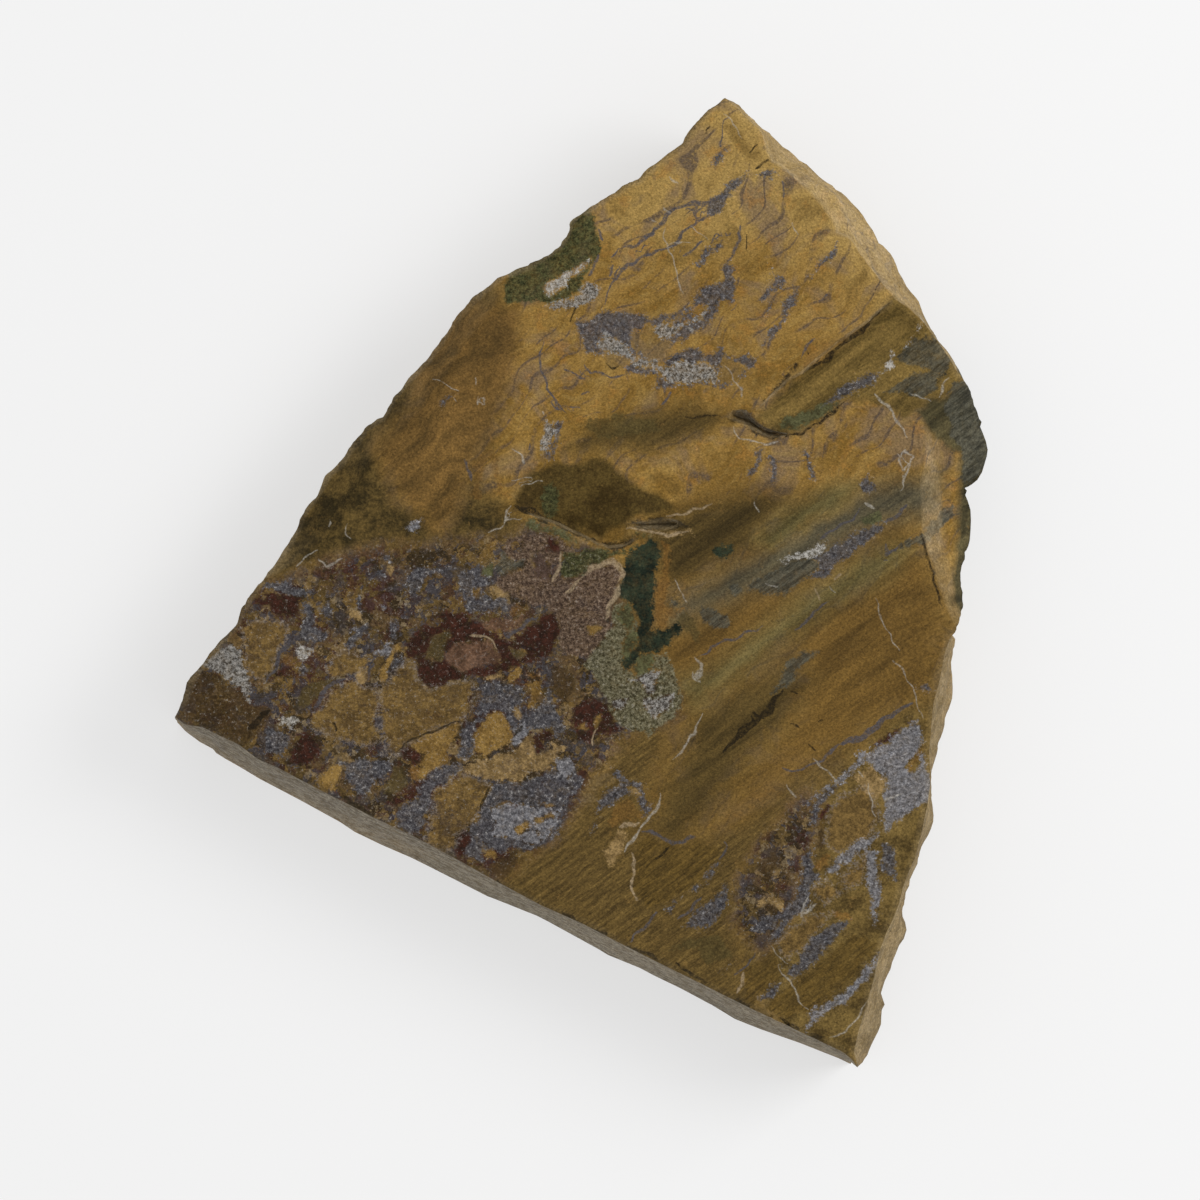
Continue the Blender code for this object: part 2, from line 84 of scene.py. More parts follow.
SAW_DEPTH = 0.03
SAW_WAVER = 1.5
FULL_TURN = 6.283
PIT_SPAN = 1.2
PIT_DEPTH = 0.015
PIT_NOISE = (0.9, 2.2, 3)
PIT_TOP = 0.12


def edge_limit(edge):
    """How long an edge of the slab may be, in metres."""
    height = (edge.verts[0].co.z + edge.verts[1].co.z) / 2 / MM
    if height > FACE_FROM:
        return FACE_EDGE * MM
    if height < LOW_EDGES:
        return UNDER_EDGE * MM
    return SIDE_EDGE * MM


def divided_slab(node):
    """A fine copy of the solid's surface, and the edges of it that are creases."""
    form = bmesh.new()
    form.from_mesh(node.data)
    bmesh.ops.remove_doubles(form, verts=form.verts, dist=SAME_POINT * MM)
    crease = form.edges.layers.int.new("crease")
    for edge in form.edges:
        edge[crease] = int(len(edge.link_faces) != 2 or edge.calc_face_angle() > CREASE_TURN)
    for _ in range(DIVIDE_ROUNDS):
        long_edges = [edge for edge in form.edges if edge.calc_length() > edge_limit(edge)]
        if not long_edges:
            break
        bmesh.ops.subdivide_edges(form, edges=long_edges, cuts=1)
        wide = [face for face in form.faces if len(face.verts) > 3]
        bmesh.ops.triangulate(form, faces=wide, quad_method="SHORT_EDGE", ngon_method="BEAUTY")
    mesh = bpy.data.meshes.new("slab_skin")
    creases = np.array([edge[crease] for edge in form.edges], bool)
    form.to_mesh(mesh)
    form.free()
    return mesh, creases


def read_points(mesh):
    """The mesh's points as an array, in millimetres."""
    points = np.empty(len(mesh.vertices) * 3)
    mesh.vertices.foreach_get("co", points)
    return points.reshape(-1, 3) / MM


def neighbour_means(points, edges, pull):
    """The mean place of the points that each point's edges lead to, with a weight on each edge."""
    sums = np.zeros((len(points), 3))
    weights = np.zeros(len(points))
    for near, far in ((0, 1), (1, 0)):
        for axis in range(3):
            sums[:, axis] += np.bincount(edges[:, near], pull * points[edges[:, far], axis], len(points))
        weights += np.bincount(edges[:, near], pull, len(points))
    return sums / np.maximum(weights, 1e-9)[:, None]


skin, creases = divided_slab(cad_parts["slab"])
places = read_points(skin)
ends = np.empty(len(skin.edges) * 2, int)
skin.edges.foreach_get("vertices", ends)
ends = ends.reshape(-1, 2)
on_crease = np.zeros(len(places), bool)
on_crease[ends[creases].ravel()] = True
along_crease = on_crease[ends[:, 0]] & on_crease[ends[:, 1]] & creases
touches_crease = on_crease[ends[:, 0]] | on_crease[ends[:, 1]]
pull = np.where(along_crease, 1.0, np.where(touches_crease, CREASE_HOLD, 1.0))
worn = places[:, 2] > FACE_FROM
under = places[:, 2] < LOW_POINTS
for turn in range(EASE_ROUNDS):
    eased = (worn & ~on_crease) | (~under & (turn < SIDE_ROUNDS))
    moved = places + EASE_SHARE * (neighbour_means(places, ends, pull) - places)
    places = np.where(eased[:, None], moved, places)

# The broken sides are chipped and rough, and the long sawn side keeps fine saw lines.
low = np.array(cad_box[0]) / MM
high = np.array(cad_box[1]) / MM
skin.vertices.foreach_set("co", (places * MM).ravel())
skin.update()
facing = np.empty(len(places) * 3)
skin.vertices.foreach_get("normal", facing)
facing = facing.reshape(-1, 3)
steep = np.clip((STEEP_FROM - facing[:, 2]) / STEEP_SOFTNESS, 0, 1) * ~under
sawn = np.clip((facing @ SAWN_FACING - SAWN_FROM) / SAWN_SOFTNESS, 0, 1) * ~under
chips = np.array([noise.fractal(Vector(p) / CHIP_SPAN, *CHIP_NOISE) for p in places])
squashed = places * (1, 1, RIPPLE_SQUASH)
ripples = np.array([noise.noise(Vector(p) / RIPPLE_SPAN) for p in squashed])
lines = np.sin(places[:, 2] * (FULL_TURN / SAW_SPAN) + SAW_WAVER * ripples)
rough = steep * (1 - sawn) * (CHIP_DEPTH * chips + RIPPLE_DEPTH * ripples) + sawn * SAW_DEPTH * lines
pits = np.array([noise.fractal(Vector(p) / PIT_SPAN, *PIT_NOISE) for p in places])
rough += PIT_DEPTH * np.minimum(pits, PIT_TOP) * ~under * (1 - sawn)
places = np.clip(places + facing * rough[:, None], low, high)

skin.vertices.foreach_set("co", (places * MM).ravel())
skin.update()
slab = bpy.data.objects.new("slab_stone", skin)
bpy.context.scene.collection.objects.link(slab)
skin.shade_smooth()
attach(slab, "root")
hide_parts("slab")

# The broad kinds of ground that the slab's rock is made of. Each is a stretch of the face that
# runs softly into the next: bright ochre at the top, rust fibre in a fan at the right, olive
# brown at the left, and a broken, healed ground along the bottom.
PLAN_MIDDLE = (-0.355, -0.406)  # the middle of the plan, on the grid that the marks are read on
READ_FROM = 500.0  # how far over the face the marks are read from
READ_OVER = (1.7, -1.8)  # the spot of the grid that the marks are read from above
GRAIN_LEAN = (0.25, -0.3)  # how far a mark moves sideways for each millimetre down into the rock
LEAN_FROM = 0.12  # the share of the thickness above which a mark doesn't lean
STRAYS = ((4.0, 0.45), (1.5, 0.4), (0.7, 0.2))  # how wide and how far the edges of the marks waver
STRAY_SEED = 5  # noise vectors are new in each run without a seed, and also with a seed of 0


def marking_grid():
    """Where each point of the skin lies on the grid that the marks are read on."""
    down = THICKNESS - places[:, 2:3]
    over = np.array(READ_OVER)
    seen = over + (places[:, :2] + np.array(PLAN_MIDDLE) - over) / (1 + down / READ_FROM)
    hidden = np.clip(down / THICKNESS - LEAN_FROM, 0, 1)
    seen = seen + hidden * THICKNESS * np.array(GRAIN_LEAN)
    noise.seed_set(STRAY_SEED)
    for span, amount in STRAYS:
        seen += amount * np.array([noise.noise_vector(Vector(p) / span)[:2] for p in places])
    return seen


def across(points, line, closed=False):
    """Distance of each point from a line, the side that it lies on, and how far along it is."""
    ring = np.array(line + line[:1] if closed else line, float)
    best = np.full(len(points), 1e9)
    side = np.zeros(len(points))
    along = np.zeros(len(points))
    runs = np.hypot(*np.diff(ring, axis=0).T)
    walked = np.concatenate([[0], np.cumsum(runs)])
    for start, end, run, before in zip(ring[:-1], ring[1:], runs, walked):
        way = (end - start) / run
        rel = points - start
        share = np.clip(rel @ way, 0, run)
        off = rel - share[:, None] * way
        distance = np.hypot(off[:, 0], off[:, 1])
        nearer = distance < best
        turn = way[0] * rel[:, 1] - way[1] * rel[:, 0]
        best = np.where(nearer, distance, best)
        side = np.where(nearer, np.sign(turn), side)
        along = np.where(nearer, (before + share) / walked[-1], along)
    return best, side, along


def inside(points, outline):
    """Which points lie inside an outline."""
    x, y = points.T
    crossings = np.zeros(len(points), bool)
    for (x0, y0), (x1, y1) in zip(outline, outline[1:] + outline[:1]):
        if y0 != y1:
            meet = x0 + (y - y0) * (x1 - x0) / (y1 - y0)
            crossings ^= ((y0 > y) != (y1 > y)) & (x < meet)
    return crossings


def near(outline, reach):
    """The numbers of the skin's points that lie within reach of an outline's box."""
    least = np.min(outline, axis=0) - reach
    most = np.max(outline, axis=0) + reach
    return np.flatnonzero(((grid > least) & (grid < most)).all(axis=1))


grid = marking_grid()
grounds = {}


def ground(name, softness, *outline):
    """Lays a broad kind of ground over those laid before it."""
    share = np.zeros(len(grid))
    some = near(outline, softness)
    distance = across(grid[some], list(outline), closed=True)[0]
    signed = np.where(inside(grid[some], list(outline)), distance, -distance)
    step = np.clip(0.5 + signed / (2 * softness), 0, 1)
    share[some] = step * step * (3 - 2 * step)
    for other in grounds:
        grounds[other] = grounds[other] * (1 - share)
    grounds[name] = np.maximum(grounds.get(name, 0), share)


ground("earth", 2.0, (-14, -8), (2, 1), (9, -1), (16, 2), (35, 4), (38, -6), (38, -50), (-14, -48))
ground("olive", 1.6, (-13, 32), (-8.5, 28), (-9.5, 24), (-8.6, 19), (-9.5, 14), (-11, 11), (-9, 8),
       (-5, 5.6), (-2, 2), (-6, -4), (-20, -6), (-28, -8), (-34, -12), (-42, -14), (-44, 5), (-26, 26))
ground("rust", 1.3, (-16, 28), (-10, 27.5), (-8.6, 27.6), (-6.3, 27.4), (-6.4, 24), (-7.2, 20),
       (-8.2, 17.4), (-10, 14), (-12, 9), (-14, 5), (-18, 8), (-21, 13), (-17, 18))
ground("fan", 2.2, (6, -8), (7, 3), (11, 8), (16, 9.4), (22, 8.4), (26, 8.4), (31, 6), (34.2, 3),
       (36.5, -2), (35, -11), (29, -14), (25, -16), (21, -19), (15, -24), (10, -25.5), (7, -22),
       (9, -15), (10, -9))
ground("shade", 2.4, (6, -25), (9, -19), (11, -13), (15, -10), (21, -7), (22.6, -10), (20, -15), (16, -19),
       (13, -23), (9, -27))
ground("shade", 1.6, (5.6, 5), (8, 6.4), (11, 7.4), (15, 8.4), (19, 8.8), (23, 8.4), (18, 3.6),
       (12, 1), (9, -1), (7.4, 2))
ground("shade", 1.4, (-2, 13.4), (1, 15), (6, 17), (12, 17.6), (14.4, 16.4), (10, 14), (6, 12.6), (4, 13.4),
       (0, 13))
ground("sand", 3.5, (2, 35), (10, 33), (20, 35), (28, 29), (34, 24), (40, 30), (20, 52), (2, 52))
ground("steel", 2.0, (8, -3), (12, 0), (17, 2.6), (21, 6), (26, 8.6), (32, 10.6), (36, 11), (36, 7),
       (30, 5.6), (25, 3), (21, 0.4), (16, -1.4), (12, -3.4), (9, -4.6))
ground("lichen", 1.8, (9, -10.6), (14, -7.6), (18, -4.4), (22, -1.6), (27, 2), (31, 4), (33, 3), (30, 0.4),
       (25, -2.6), (20, -6), (15, -9.4), (11, -12.4))
ground("lichen", 1.2, (17, 4.6), (21, 7.6), (25, 9.6), (28, 9.8), (26, 7.8), (22, 5.4), (19, 3.4))
ground("breccia", 1.2, (-41, -10), (-37, -5.6), (-33.6, -1), (-28, 1.4), (-20, 3.6), (-12, 4.4),
       (-7, 4.6), (-5, 5.6), (0, 4), (4, 1.6), (3, -6), (3.4, -9), (9, -9), (9.4, -13), (4, -16),
       (1, -20), (-3, -26), (-9, -30), (-26, -24), (-42, -14))
ground("shards", 1.2, (17, -29), (20, -24), (22.4, -21), (27, -17), (31, -13.6), (34, -12), (36, -20),
       (34, -30), (30, -40), (27, -49), (20, -45), (15.6, -39), (16, -33))
ground("scree", 1.0, (15.4, -30), (17, -26.6), (19, -24), (22.4, -21), (24, -22), (23.4, -26), (21.6, -30),
       (20.4, -35), (17.6, -38), (15, -34))
ground("hollow", 0.45, (-7.2, 8.0), (-6.0, 9.2), (-5.5, 10.9), (-3.0, 11.8), (0, 12.0), (1.4, 12.4),
       (2.9, 12.0), (3.6, 11.0), (4.9, 10.2), (6.4, 9.3), (8.6, 8.2), (9.6, 7.2), (8.4, 6.9),
       (6.2, 6.5), (4, 5.9), (1.6, 4.6), (-1, 5.2), (-3.5, 6.2), (-5.4, 7), (-7.2, 7.4))
ground("ramp", 0.5, (17.2, 16.5), (18.4, 17.8), (20.8, 20.1), (22.1, 20.7), (24, 22.4), (26, 24),
       (28, 25.4), (29.4, 26.7), (31.6, 28.6), (36, 24.4), (40, 20), (36, 18.4), (34.2, 17.4),
       (32, 16.5), (29.8, 17.8), (26.5, 18.1), (24.5, 17), (22.5, 15.7), (20.6, 14.8), (18.8, 15.4))
ground("corner", 0.5, (33.4, 17.2), (34.6, 18.4), (36.4, 19), (39, 20.4), (42, 16), (42, 8), (39.4, 1),
       (38, -5), (36.8, -1.6), (37.8, 4), (38, 9), (37.6, 12.6), (36.4, 13), (35.6, 14.6), (34.4, 15.4))

# The oxblood band across the lower left. It is red-brown jasper, with pink, olive and slate
# islands in it, and it was broken up with the plates round it before quartz healed them all.
PATCH_REACH = 1.5  # a patch's field stops this far from its edge
patches = {}


def patch(kind, *outline):
    """Lays a patch of one kind of stone, or of painted shade, over those laid before it, as a signed
    distance.
    """
    line = list(outline)
    some = near(line, PATCH_REACH)
    distance = across(grid[some], line, closed=True)[0]
    signed = np.clip(np.where(inside(grid[some], line), distance, -distance), -PATCH_REACH, PATCH_REACH)
    field = patches.setdefault(kind, np.full(len(grid), -PATCH_REACH))
    for other in patches.values():
        if other is not field:
            other[some] = np.minimum(other[some], -signed)
    field[some] = np.maximum(field[some], signed)


patch("oxblood", (-13.9, -3), (-12.4, -3.1), (-11.3, -3.2), (-10.9, -3.9), (-9.4, -4.4), (-8.8, -5),
      (-9, -5.5), (-7.4, -5.3), (-5.6, -4.6), (-4.9, -3.8), (-3.2, -2.9), (-2.5, -3.4), (-2.5, -5),
      (-2.8, -6.4), (-3.3, -7.4), (-5.5, -7.9), (-7.2, -8.5), (-8.6, -9.1), (-10, -9.5),
      (-11.4, -9.2), (-13.4, -9.8), (-14.9, -10.9), (-16.2, -10), (-17, -8.3), (-16.8, -7.6),
      (-17.8, -7.3), (-18, -6.3), (-16.9, -5.2), (-15.4, -4.5), (-14.4, -4.1))
patch("pink", (-13.7, -7), (-12.7, -6.4), (-11.5, -6.2), (-9.6, -5.8), (-8.6, -6.8), (-8.4, -7.8),
      (-9.8, -8.6), (-11, -8.5), (-12.2, -8.9), (-12.8, -8.2), (-13.4, -7.8))
patch("moss", (-15.7, -6.3), (-14.8, -5.5), (-13.2, -5), (-12.8, -5.5), (-13.7, -6.5), (-13.8, -7.8),
      (-15.8, -7.5))
patch("moss", (-7.6, -6.2), (-5.8, -6.5), (-5.8, -7.2), (-6.8, -7.5))
patch("pink", (-9.8, -4.2), (-8.8, -3.5), (-6.9, -3.6), (-6, -3.2), (-5.4, -3.6), (-7, -4.8), (-8.2, -5.2))
patch("rust", (-7, -2.1), (-6, -2.5), (-5.8, -3.1), (-7.2, -3.4))
patch("slate", (-12.4, .6), (-11.4, 1.2), (-10.2, 1.6), (-10, .6), (-8.6, -.1), (-10, -.8), (-9.6, -1.4),
      (-8.9, -1.8), (-7.4, -1.8), (-7.2, -2.6), (-7.9, -3.2), (-9, -2.8), (-11.4, -3), (-12.1, -2))
patch("slate", (-7.2, .4), (-4.6, .6), (-3.6, -.6), (-4.2, -2.4), (-6, -2.2), (-7.4, -1.4))
patch("tan", (-9.3, -.6), (-8.6, -.1), (-6.6, .5), (-5.6, -.2), (-7.2, -1), (-7.6, -1.6), (-8.4, -1.8),
      (-9.7, -1))
patch("ochre", (-11.2, -1.4), (-10.2, -.7), (-10.2, -1.2), (-10.6, -1.7))
patch("slate", (-18, -.2), (-17.4, .8), (-16.6, 1.3), (-13.4, 1.1), (-12.6, .6), (-14.8, .6), (-16.4, -.6),
      (-17, -1.6))
patch("slate", (-20.3, 2.6), (-19.2, 2.5), (-19, 1.9), (-20, 1.8))
patch("slate", (-21, .2), (-20.7, 1.2), (-19.9, .4))
patch("tan", (-20, 1.9), (-18.8, 1.6), (-19.4, .4))
patch("lavender", (-17.8, 5.4), (-17.2, 6), (-16.2, 6.1), (-17, 5.3))
patch("oxblood", (-.5, -11.6), (.8, -11.8), (2.2, -12.4), (3.6, -13), (4.6, -14), (4.2, -15.2),
      (1.6, -15.2), (.6, -15.8), (-.6, -15.6), (-1, -14.9), (-1.5, -13.2), (-1, -12.4))
patch("brown", (-3.4, -9.8), (-2.8, -9), (-1.6, -8.3), (-.9, -10), (-1.2, -11), (-2, -11.8), (-3.1, -10.5))
patch("ochre", (-1.3, -14.5), (-.2, -13.5), (.3, -14), (.2, -14.7))
patch("ochre", (.8, -14), (1.1, -13.2), (1.7, -13.1), (1.7, -14), (1.2, -14.6))

# The plates of the lower left. They are ochre, olive and tan pieces of the first rock, parted by
# slate blue and lavender chalcedony that grew in the cracks.
patch("plate", (-20, -10.2), (-19, -9.8), (-18.3, -8.4), (-17.2, -8.1), (-16.9, -9.5), (-15.5, -10.8),
      (-14, -10.2), (-12.5, -9.9), (-10.8, -9.9), (-10.7, -11), (-11.8, -13.6), (-14, -14.2),
      (-15.3, -14.6), (-17, -16), (-18.2, -17.4), (-20, -17))
patch("plate", (-27.3, -13.8), (-25.8, -12), (-25.2, -11.2), (-23.2, -10), (-21.8, -10.8), (-20.2, -11),
      (-20.8, -13.5), (-20.6, -15.8), (-22, -16), (-24.4, -15.8), (-25.8, -15.1), (-27.2, -14.4))
patch("ochre", (-12.2, -14), (-12.8, -16), (-13.5, -16.5), (-13.5, -17.8), (-16.2, -20), (-17.5, -20),
      (-17.2, -19), (-15.9, -17.4), (-17.2, -16.3), (-15.5, -14.7), (-14, -14.3))
patch("oxblood", (-18, -16.8), (-17.3, -16.4), (-15.9, -17.3), (-16.1, -18), (-17, -18.6), (-18, -17.5))
patch("brown", (-12, -14.1), (-11.7, -14.5), (-12.2, -16.1), (-12.5, -16), (-12.4, -15))
patch("brown", (-10.6, -10.2), (-10.1, -10.2), (-10.1, -11.3), (-11.9, -14), (-11.6, -13.3), (-10.9, -12))
patch("tan", (-9.5, -9.4), (-8.7, -9), (-8, -9.3), (-8.2, -9.9), (-9.8, -9.9))
patch("ochre", (-7.8, -9.9), (-7.5, -9), (-6.3, -8.4), (-6, -9.2), (-7, -10.1))
patch("amber", (-5.6, -9.6), (-5.5, -8.9), (-4, -8.7), (-4.2, -9.4))
patch("slate", (-10.1, -10.2), (-8.5, -10.3), (-6, -10.5), (-6, -12.5), (-5.2, -13.3), (-4.2, -12),
      (-3.3, -10), (-3, -11.5), (-1.8, -14.5), (-2.6, -15.5), (-3.6, -14.6), (-5.2, -14.6),
      (-6.8, -15), (-7.4, -15.8), (-8.2, -13.2), (-9.2, -13), (-10.4, -14.1), (-11.8, -14),
      (-12.6, -17.8), (-11.2, -17.6), (-10.9, -14.6))
patch("ochre", (-5.8, -10), (-4.2, -10), (-4.3, -11), (-5, -12.9), (-5.6, -12.6), (-5.3, -11.2))
patch("tan", (-7.2, -13.2), (-6.6, -12.6), (-5.6, -13.5), (-6.3, -14.1))
patch("lavender", (-6.8, -15), (-6, -14.4), (-5.2, -14.6), (-6, -15.7), (-7.6, -16.6), (-7.4, -15.8))
patch("ochre", (-10.9, -14.6), (-9.6, -13.6), (-9.2, -13.1), (-8.2, -13.4), (-7.4, -14.9), (-7.3, -15.5),
      (-8.4, -16.9), (-9.8, -17.6), (-10.4, -16.9), (-11, -17))
patch("tan", (-12.5, -19), (-11.2, -18), (-9.3, -17.9), (-7.2, -16.9), (-5.5, -15.3), (-4.9, -15.2),
      (-4.7, -17), (-3.2, -16.5), (-2.9, -15.9), (-1.5, -16.1), (-2.7, -16.9), (-3.4, -18.2),
      (-4.8, -18.8), (-6, -20), (-10, -19.6))
patch("oxblood", (-4.8, -16.9), (-4.8, -15.8), (-4.3, -15.2), (-3, -14.7), (-2.9, -15.4), (-3.9, -16),
      (-3.8, -16.7))
patch("slate", (-8.6, -20.2), (-6, -20.2), (-4.4, -19.2), (-2.8, -18), (-2.6, -17.2), (-1.6, -17),
      (-.5, -19), (.3, -19.8), (-1, -21.2), (-1.8, -23), (-2.4, -24.8), (-3.6, -26.3), (-5.6, -27),
      (-6.9, -26.5), (-8.6, -27.4), (-9.8, -26.2), (-11.3, -25.5), (-11.6, -24.6), (-10, -22.9))
patch("lavender", (-9, -22.6), (-7, -22), (-4.6, -22.4), (-2.4, -22.8), (-3, -25), (-4.6, -26), (-7, -25.8),
      (-9.4, -25))
patch("lavender", (-2.8, -17.3), (-1.6, -17.2), (-.8, -18), (-1.4, -19.6), (-2.8, -18.6))
patch("ochre", (-4.3, -22), (-3, -21.6), (-2.5, -22), (-3.4, -22.3))
patch("ochre", (-5.2, -23.3), (-3.2, -22.9), (-3, -23.5), (-4.6, -23.9))
patch("ochre", (-7.1, -24.5), (-5.8, -23.5), (-5.3, -24), (-6.3, -25.2))
patch("ochre", (-4.8, -24.4), (-4.2, -24.8), (-4.5, -25.2))
patch("slate", (-12.2, -18), (-14, -18.3), (-16.2, -20.2), (-17.8, -22.2), (-19, -24.5), (-16.2, -25.4),
      (-15.3, -23), (-15, -21), (-12.6, -19))
patch("plate", (-13.2, -19.8), (-12, -19.2), (-8.9, -20.3), (-10, -22.7), (-11.8, -24.6), (-12.7, -26),
      (-13.8, -27.3), (-15.3, -26.3), (-15, -24), (-14.6, -22.2), (-15.2, -21.6))
patch("slate", (-11.6, -24.6), (-10.2, -24.4), (-9.8, -26.4), (-10.3, -28.2), (-11.8, -27))
patch("oxblood", (-12.9, -25.4), (-12, -24.6), (-11, -25.8), (-11.8, -27.4), (-9.5, -29), (-12.5, -28))
patch("brown", (-8, -27.3), (-6.8, -26.9), (-6.6, -28), (-7.8, -29.9), (-9.8, -28.8), (-8.8, -27.6))
patch("ochre", (-9.8, -27.4), (-9.4, -26.8), (-8.8, -27.6), (-9.2, -28.1))
patch("slate", (-24.2, -17.8), (-21.4, -17.5), (-18.6, -18), (-20.8, -20.2), (-22, -21.6), (-24, -19.2))
patch("oxblood", (-21.2, -16.1), (-20.4, -16), (-19.4, -16.5), (-21.1, -16.9))
patch("moss", (-19, -18.2), (-17.6, -18.6), (-17.5, -20), (-18.8, -21.4), (-20.2, -21.2), (-19.3, -19.6))
patch("oxblood", (-18.4, -21.5), (-17, -20.6), (-16.2, -21.2), (-18.4, -22.4), (-20.2, -21.9))
patch("amber", (-17.2, -18.9), (-16.2, -18.3), (-16.3, -20.2), (-17.4, -19.7))
patch("ochre", (-20.8, -20.6), (-19.6, -19.2), (-19.8, -19.9))
patch("ochre", (-26.8, -19.8), (-25, -18.2), (-24.2, -18.5), (-24.6, -20.6), (-26.3, -20.4))
patch("oxblood", (-28.9, -15.8), (-27.6, -14.9), (-26.5, -15.6), (-26.1, -17.2), (-27.6, -18), (-29, -17.8))
patch("slate", (-31.8, -14.5), (-30.4, -14.6), (-29.4, -15.4), (-29.8, -17.6), (-31.8, -16.5))
patch("white", (-30, -13.2), (-28.4, -13.6), (-28.8, -14.5), (-30.2, -14.5))
patch("slate", (-32.6, -1), (-31.8, 0), (-30, 0), (-26.9, -1.2), (-28, -1.5), (-31.4, -.9))
patch("oxblood", (-33.4, -2), (-31, -1.2), (-28.2, -1.6), (-28.2, -3.6), (-29.8, -3.8), (-31.4, -2.4))
patch("slate", (-28, -2), (-27.2, -2.5), (-27, -4.6), (-25.2, -5.2), (-26, -6.2), (-28.4, -5.8))
patch("slate", (-26.5, -3), (-25, -2.6), (-25.6, -3.8))
patch("tan", (-24, -2.2), (-22.6, -3), (-22, -3.4), (-23.2, -3.9))
patch("slate", (-22.9, -1.8), (-22.2, -1.4), (-22.4, -2.5))
patch("lavender", (-20.5, -2.2), (-19.8, -2.5), (-20, -3.1))
patch("slate", (-22.3, -4.2), (-21.5, -3.9), (-22.2, -5.4), (-23.2, -6.8), (-23.9, -6.6))
patch("lavender", (-23.4, -5.2), (-22.7, -4.2), (-22.8, -4.8))
patch("plate", (-34, -5), (-33, -4), (-31, -4), (-29.3, -4.6), (-29.8, -6), (-31.8, -9.8), (-33.3, -8.8))
patch("oxblood", (-30.8, -9.3), (-29.7, -8.5), (-29.5, -9.2), (-30.6, -9.8))
patch("rust", (-29.8, -7.2), (-28.9, -7.1), (-28.7, -8.6), (-29.8, -8))
patch("white", (-28.5, -6.2), (-27.2, -7.2), (-28, -8.1), (-28.7, -6.8))
patch("slate", (-28.7, -8.6), (-27.9, -8.1), (-27.1, -9.2), (-28.1, -9.8))
patch("plate", (-25.8, -8.8), (-24, -7), (-21.8, -7.5), (-21.2, -8), (-23, -9.5), (-25.2, -9.8))
patch("tan", (-23, -9.4), (-21.5, -8.3), (-21.2, -8.8), (-21.8, -10.3), (-22.5, -10.3))
patch("ochre", (-20.4, -9.8), (-20.5, -8.5), (-18.4, -6), (-18, -6.2), (-18.9, -7.6), (-20.1, -10.3))
patch("lavender", (-20.8, -7), (-20, -6.2), (-18.8, -5.9), (-19.4, -6.8))
patch("slate", (-18.2, -6.8), (-17.9, -7.6), (-18.4, -8.6), (-19.6, -8.9))
patch("slate", (-19.8, -4.5), (-18.8, -4), (-18.4, -5.6), (-19.2, -5.9))
patch("moss", (-28, -10.6), (-25, -9.9), (-23.8, -9.6), (-25.5, -10.7), (-28.2, -12.6), (-29.5, -12.9))
patch("speckle", (-38.5, -8.6), (-37, -7.2), (-35, -6.3), (-33.9, -7.4), (-33.2, -10.6), (-33.3, -12),
      (-34.3, -10.5), (-37, -9))
patch("brown", (-39.5, -10), (-38, -9), (-36.5, -9.5), (-34, -11), (-33.3, -12), (-31.2, -12.4),
      (-31.3, -13.8), (-34, -16.3), (-37, -15), (-40.3, -13.8))

# The flow of the upper face. Slate blue quartz lies in lenses and swirls in bright ochre, with a
# dark green patch at the left notch and bodies of white quartz speckled with black. Near the ledge,
# painted shade fills the slit and the pit.
patch("green", (-8, 28), (-7.8, 31.4), (-4, 33.2), (-2.8, 34), (-2.2, 35.6), (-1.6, 37), (0.2, 37.6),
      (1, 36.5), (1.5, 34.8), (1.7, 33.2), (.8, 31.7), (-.5, 29.6), (-.4, 28.9), (-2.2, 27.7), (-4, 28))
patch("white", (.6, 32), (-.6, 31.3), (-1.4, 30.7), (-2.6, 30.3), (-3.4, 29.6), (-3.5, 29), (-3.3, 28.4),
      (-2.7, 28.8), (-1.6, 29.4), (-1.7, 29.8), (-.6, 30.5), (-.2, 31.1))
patch("speckle", (-3.8, 27.6), (-2.6, 27.2), (-1.4, 27.4), (.2, 27.9), (1.2, 28.3), (1.6, 29.2), (.6, 30),
      (-.4, 29.4), (-1.4, 28.4), (-2.4, 28))
patch("slate", (-.7, 25.8), (.3, 26.1), (2.2, 27), (3.4, 26.8), (5, 26.9), (6.8, 26.7), (7.3, 26.4),
      (8.6, 27.2), (9.8, 27.4), (11, 28.5), (12.4, 29.6), (14, 30), (14.6, 32), (15.3, 31.6),
      (15.5, 30.4), (15.3, 29), (14.9, 28), (13.4, 28), (12.9, 26.4), (11.6, 25.2), (10, 24.2),
      (8.8, 23.3), (8, 21.8), (5, 22.6), (3, 23), (1.4, 22.6), (.3, 22.8), (.1, 24))
patch("umber", (4.8, 24.6), (6.2, 25.4), (7, 26), (7.3, 25), (8.8, 24.4), (9.4, 24.2), (8.6, 23.2),
      (9.2, 22.3), (8, 22), (6, 22.4), (4.8, 23.4))
patch("umber", (10.6, 27.5), (12, 27.9), (11.6, 26.9), (10.9, 26.6))
patch("umber", (8.2, 26.2), (9.6, 26.9), (10.3, 27), (10, 26.1))
patch("slate", (9.6, 22.6), (10.6, 23.2), (11.4, 23.4), (12.4, 22.8), (13, 23.2), (13.6, 23.7),
      (14.6, 22.6), (16.6, 22.8), (17.2, 22.6), (16.2, 20.6), (15, 19.8), (13.4, 19.4), (11.4, 19.7),
      (10.4, 19.3), (9.2, 19.6), (8.4, 19.2), (7.2, 19.4), (7.3, 20), (7.8, 20.5), (6.4, 20.9),
      (4.3, 20.9), (4.6, 21.8), (7, 21.6))
patch("umber", (13.8, 22.8), (15.4, 22), (16.4, 21.6), (15.8, 20.4), (14.2, 19.6), (13.6, 20.8))
